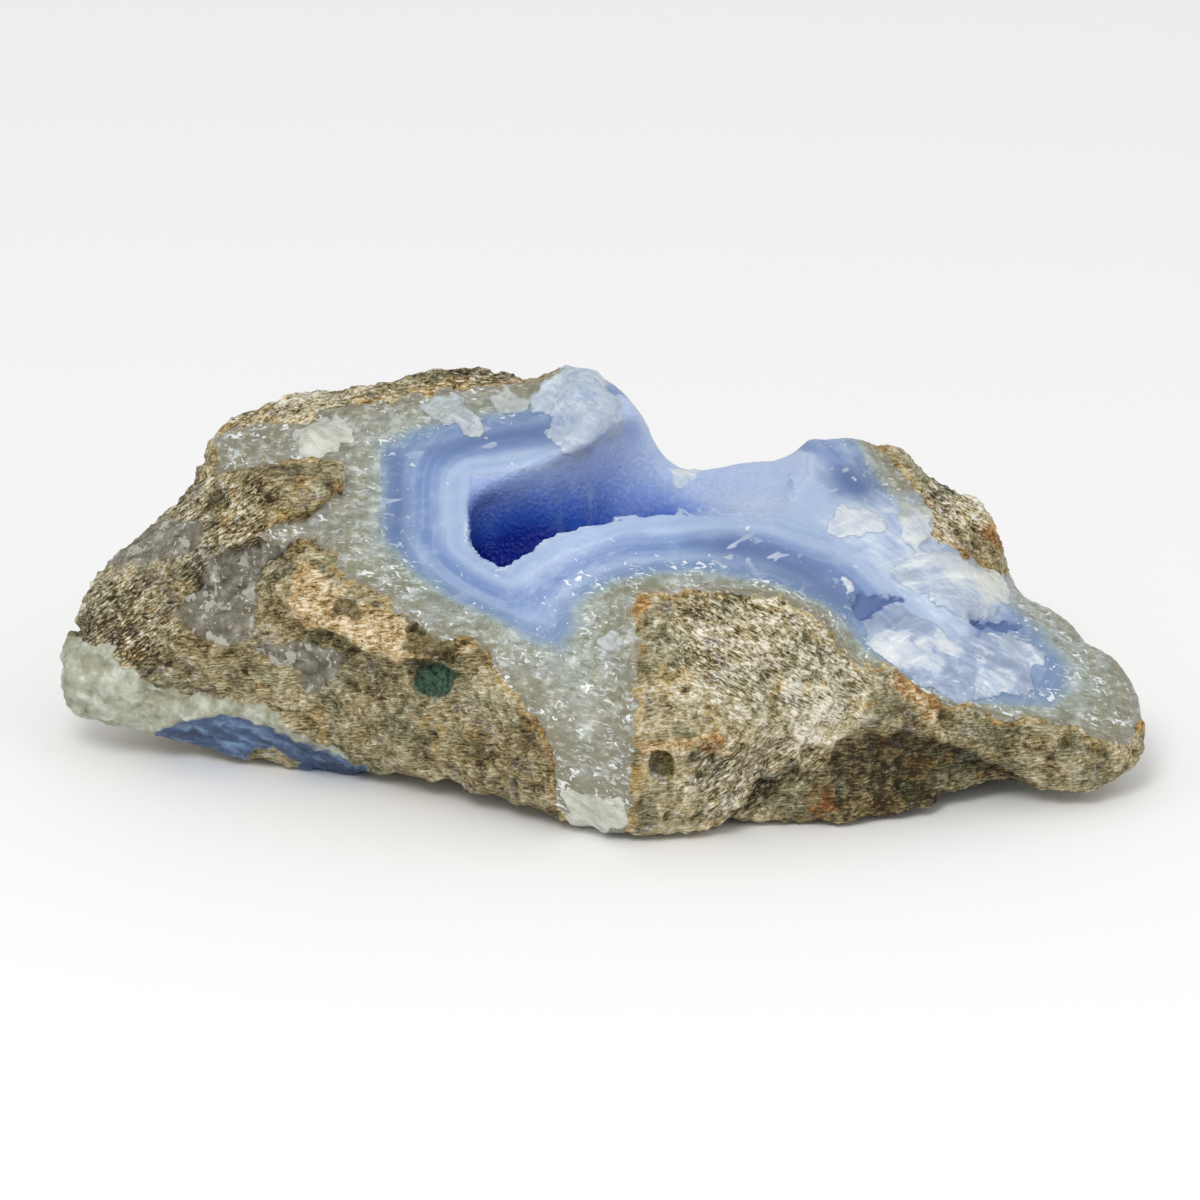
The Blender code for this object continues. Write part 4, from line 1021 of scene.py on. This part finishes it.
def stone_look():
    """Rough rind and waxy, banded chalcedony, joined along a ragged edge."""
    look = Look("agate_stone")
    ragged = (look.noise(1.0, 4, 0.65) - 0.5) * 0.2
    fine = look.noise(0.5, 3, 0.7, distortion=0.4)
    coarse = look.noise(1.7, 3, 0.65)
    level_fibres = look.noise(0.19, 2, 0.6, (5, 2, 1), 0.5, 4)
    rising_fibres = look.noise(0.19, 2, 0.6, (4.5, 2, 1), 0.5, 36)
    falling_fibres = look.noise(0.19, 2, 0.6, (4.5, 2, 1), 0.5, -30)
    fibres = level_fibres + (rising_fibres - level_fibres) * look.zone("upward")
    fibres = fibres + (falling_fibres - fibres) * look.zone("downward")
    grain = fibres * 0.45 + fine * 0.3 + coarse * 0.25

    # Lighter on the crests, with painted shade in the pores
    ochre_grain = look.ramp(
        (grain - 0.5) * 2.8 + look.zone("height") * 0.35 + 0.34, (0.18, "4a3818"),
        (0.4, "a68a56"), (0.56, "cdb184"), (0.76, "f4e7ca"),
    )
    quartz = look.ramp(
        look.noise(1.5, 4, 0.65), (0.32, "4c483a"), (0.46, "6c685b"), (0.58, "86837a"),
        (0.7, "a9a79e"),
    )
    flakes = look.noise(1.5, 3, 0.6, (1.2, 1.2, 1.8), 0.3, 25).between(0.57, 0.59)
    glints = look.noise(0.4, 1, 0.5, (1.8, 1, 1), 0.8, -30).between(0.68, 0.72)
    bare = (look.zone("quartz") + ragged).between(0.42, 0.56)
    rock = look.layered(
        rock_colour(look, grain, fibres, ragged),
        ((look.zone("ochre") + ragged).between(0.44, 0.56) * 0.9, ochre_grain),
        # The pits' dark olive and the vesicle's dark green, partly painted shade inside their dents
        ((look.zone("pits") + ragged).between(0.2, 0.8) * 0.75,
         look.mix(fine.between(0.4, 0.6), "2a2510", "6d6538")),
        ((look.zone("vesicle") + ragged).between(0.2, 0.75),
         look.ramp(fine, (0.35, "1a2c22"), (0.65, "5d7a64"))),
        (bare * 0.9, look.layered(quartz, (flakes, "aeada2"), (glints * 0.8, "e2e3df"))),
    )
    rough_bump = look.bump(grain * (1 - bare * 0.75), 0.0006, 1.0)
    rock_shader = look.add("BsdfPrincipled", (), {
        "Base Color": rock, "Roughness": 0.8, "Normal": rough_bump, "Specular IOR Level": 0.3,
    })

    face = (look.zone("face") + ragged).between(0.46, 0.51)
    clear = (look.zone("clear") + ragged).between(0.45, 0.53)
    under = (look.zone("under") + ragged).between(0.45, 0.55)
    clear_tint = look.ramp(
        look.noise(1.8, 5, 0.65), (0.32, "7f8064"), (0.45, "9d9d86"), (0.56, "b3b6a5"),
        (0.7, "d6dad0"),
    )
    # Blue chalcedony of the underside, painted darker for the shade it lies in
    underside_blue_and_shade = look.ramp(
        look.noise(1.3, 3, 0.6, (3, 1.5, 1), 0.5, -16), (0.3, "24344a"), (0.5, "3d557a"),
        (0.68, "7590b0"),
    )
    agate, plate, arcs = agate_colour(look)
    waxy_bump = look.bump(look.noise(0.5, 3) * 0.4 + plate * arcs * 1.2, 0.00022, 0.8)
    agate_shader = look.add("BsdfPrincipled", {"subsurface_method": "RANDOM_WALK"}, {
        "Base Color": look.layered(agate, (clear, clear_tint), (under, underside_blue_and_shade)),
        "Roughness": 0.4, "Normal": waxy_bump, "IOR": 1.54, "Subsurface Weight": 0.3,
        "Subsurface Radius": (0.6, 0.8, 1.2), "Subsurface Scale": 0.0008,
    })
    solid = face.math("MAXIMUM", clear).math("MAXIMUM", under)
    return look.finish(look.add("MixShader", (), {0: solid, 1: rock_shader, 2: agate_shader}))


def druse_look():
    """Sparkling crystals, pale at the lip and deep blue where the hollow is deepest, partly painted shade.
    """
    look = Look("quartz_druse")
    colour, _, _ = agate_colour(look)
    return look.finish(look.add("BsdfPrincipled", {"subsurface_method": "RANDOM_WALK"}, {
        "Base Color": colour, "Roughness": 0.45, "Specular IOR Level": 0.2,
        "Subsurface Weight": 0.5, "Subsurface Radius": (0.5, 0.8, 1.2), "Subsurface Scale": 0.0012,
    }))


def floor_look():
    look = Look("pale_floor")
    return look.finish(look.add("BsdfPrincipled", (), {
        "Base Color": "ffffff", "Roughness": 0.7, "Specular IOR Level": 0.2,
    }))


def studio():
    """Pale floor, soft light from above and the left, and the camera on the broken side."""
    bm = bmesh.new()
    bmesh.ops.create_grid(bm, x_segments=1, y_segments=1, size=3)
    floor = object_from(bm, "floor")
    floor.data.materials.append(floor_look())
    world = bpy.data.worlds.new("studio")
    world.use_nodes = True
    background = world.node_tree.nodes["Background"]
    background.inputs["Color"].default_value = (1, 1, 1, 1)
    background.inputs["Strength"].default_value = SKY_STRENGTH
    bpy.context.scene.world = world
    for name, (place, size, power) in LIGHTS.items():
        data = bpy.data.lights.new(name, "AREA")
        data.shape, data.size, data.energy = "DISK", size, power
        lamp = link(name, data)
        lamp.location = place
        lamp.rotation_euler = (LIT_PLACE - Vector(place)).to_track_quat("-Z", "Y").to_euler()
    data = bpy.data.cameras.new("camera")
    data.lens, data.sensor_width, data.clip_start = CAMERA_LENS, CAMERA_SENSOR, 0.05
    camera = link("camera", data)
    sight = Vector(SIGHT)
    camera.location = (AIM + DRAWN_TO_ROW) / PER_METRE - sight
    camera.rotation_euler = sight.to_track_quat("-Z", "Y").to_euler()
    bpy.context.scene.camera = camera
    bpy.context.scene.view_settings.view_transform = "Standard"


def dress(piece, look, node):
    """Puts a drawn piece in its place in the row frame, in metres, over the CAD node it stands for."""
    move_to(piece.data, (points_of(piece.data) + np.array(DRAWN_TO_ROW)) / PER_METRE)
    piece.data.materials.clear()
    piece.data.materials.append(look)
    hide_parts(node)
    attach(piece, "root")


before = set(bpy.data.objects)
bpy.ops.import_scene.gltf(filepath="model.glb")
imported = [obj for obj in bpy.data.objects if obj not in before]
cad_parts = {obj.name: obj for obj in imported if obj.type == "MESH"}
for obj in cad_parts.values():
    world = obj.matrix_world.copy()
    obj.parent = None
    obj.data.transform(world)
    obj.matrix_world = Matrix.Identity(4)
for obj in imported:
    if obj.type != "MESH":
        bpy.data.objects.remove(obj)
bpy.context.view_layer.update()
noise.seed_set(1)

stone = fine_stone()
carve_stone(stone)
crust = crystal_crust(stone)
dress(stone, stone_look(), "geode_stone")
stone.data.shade_smooth()
dress(crust, druse_look(), "druse_crust")
crust.data.shade_flat()

studio()
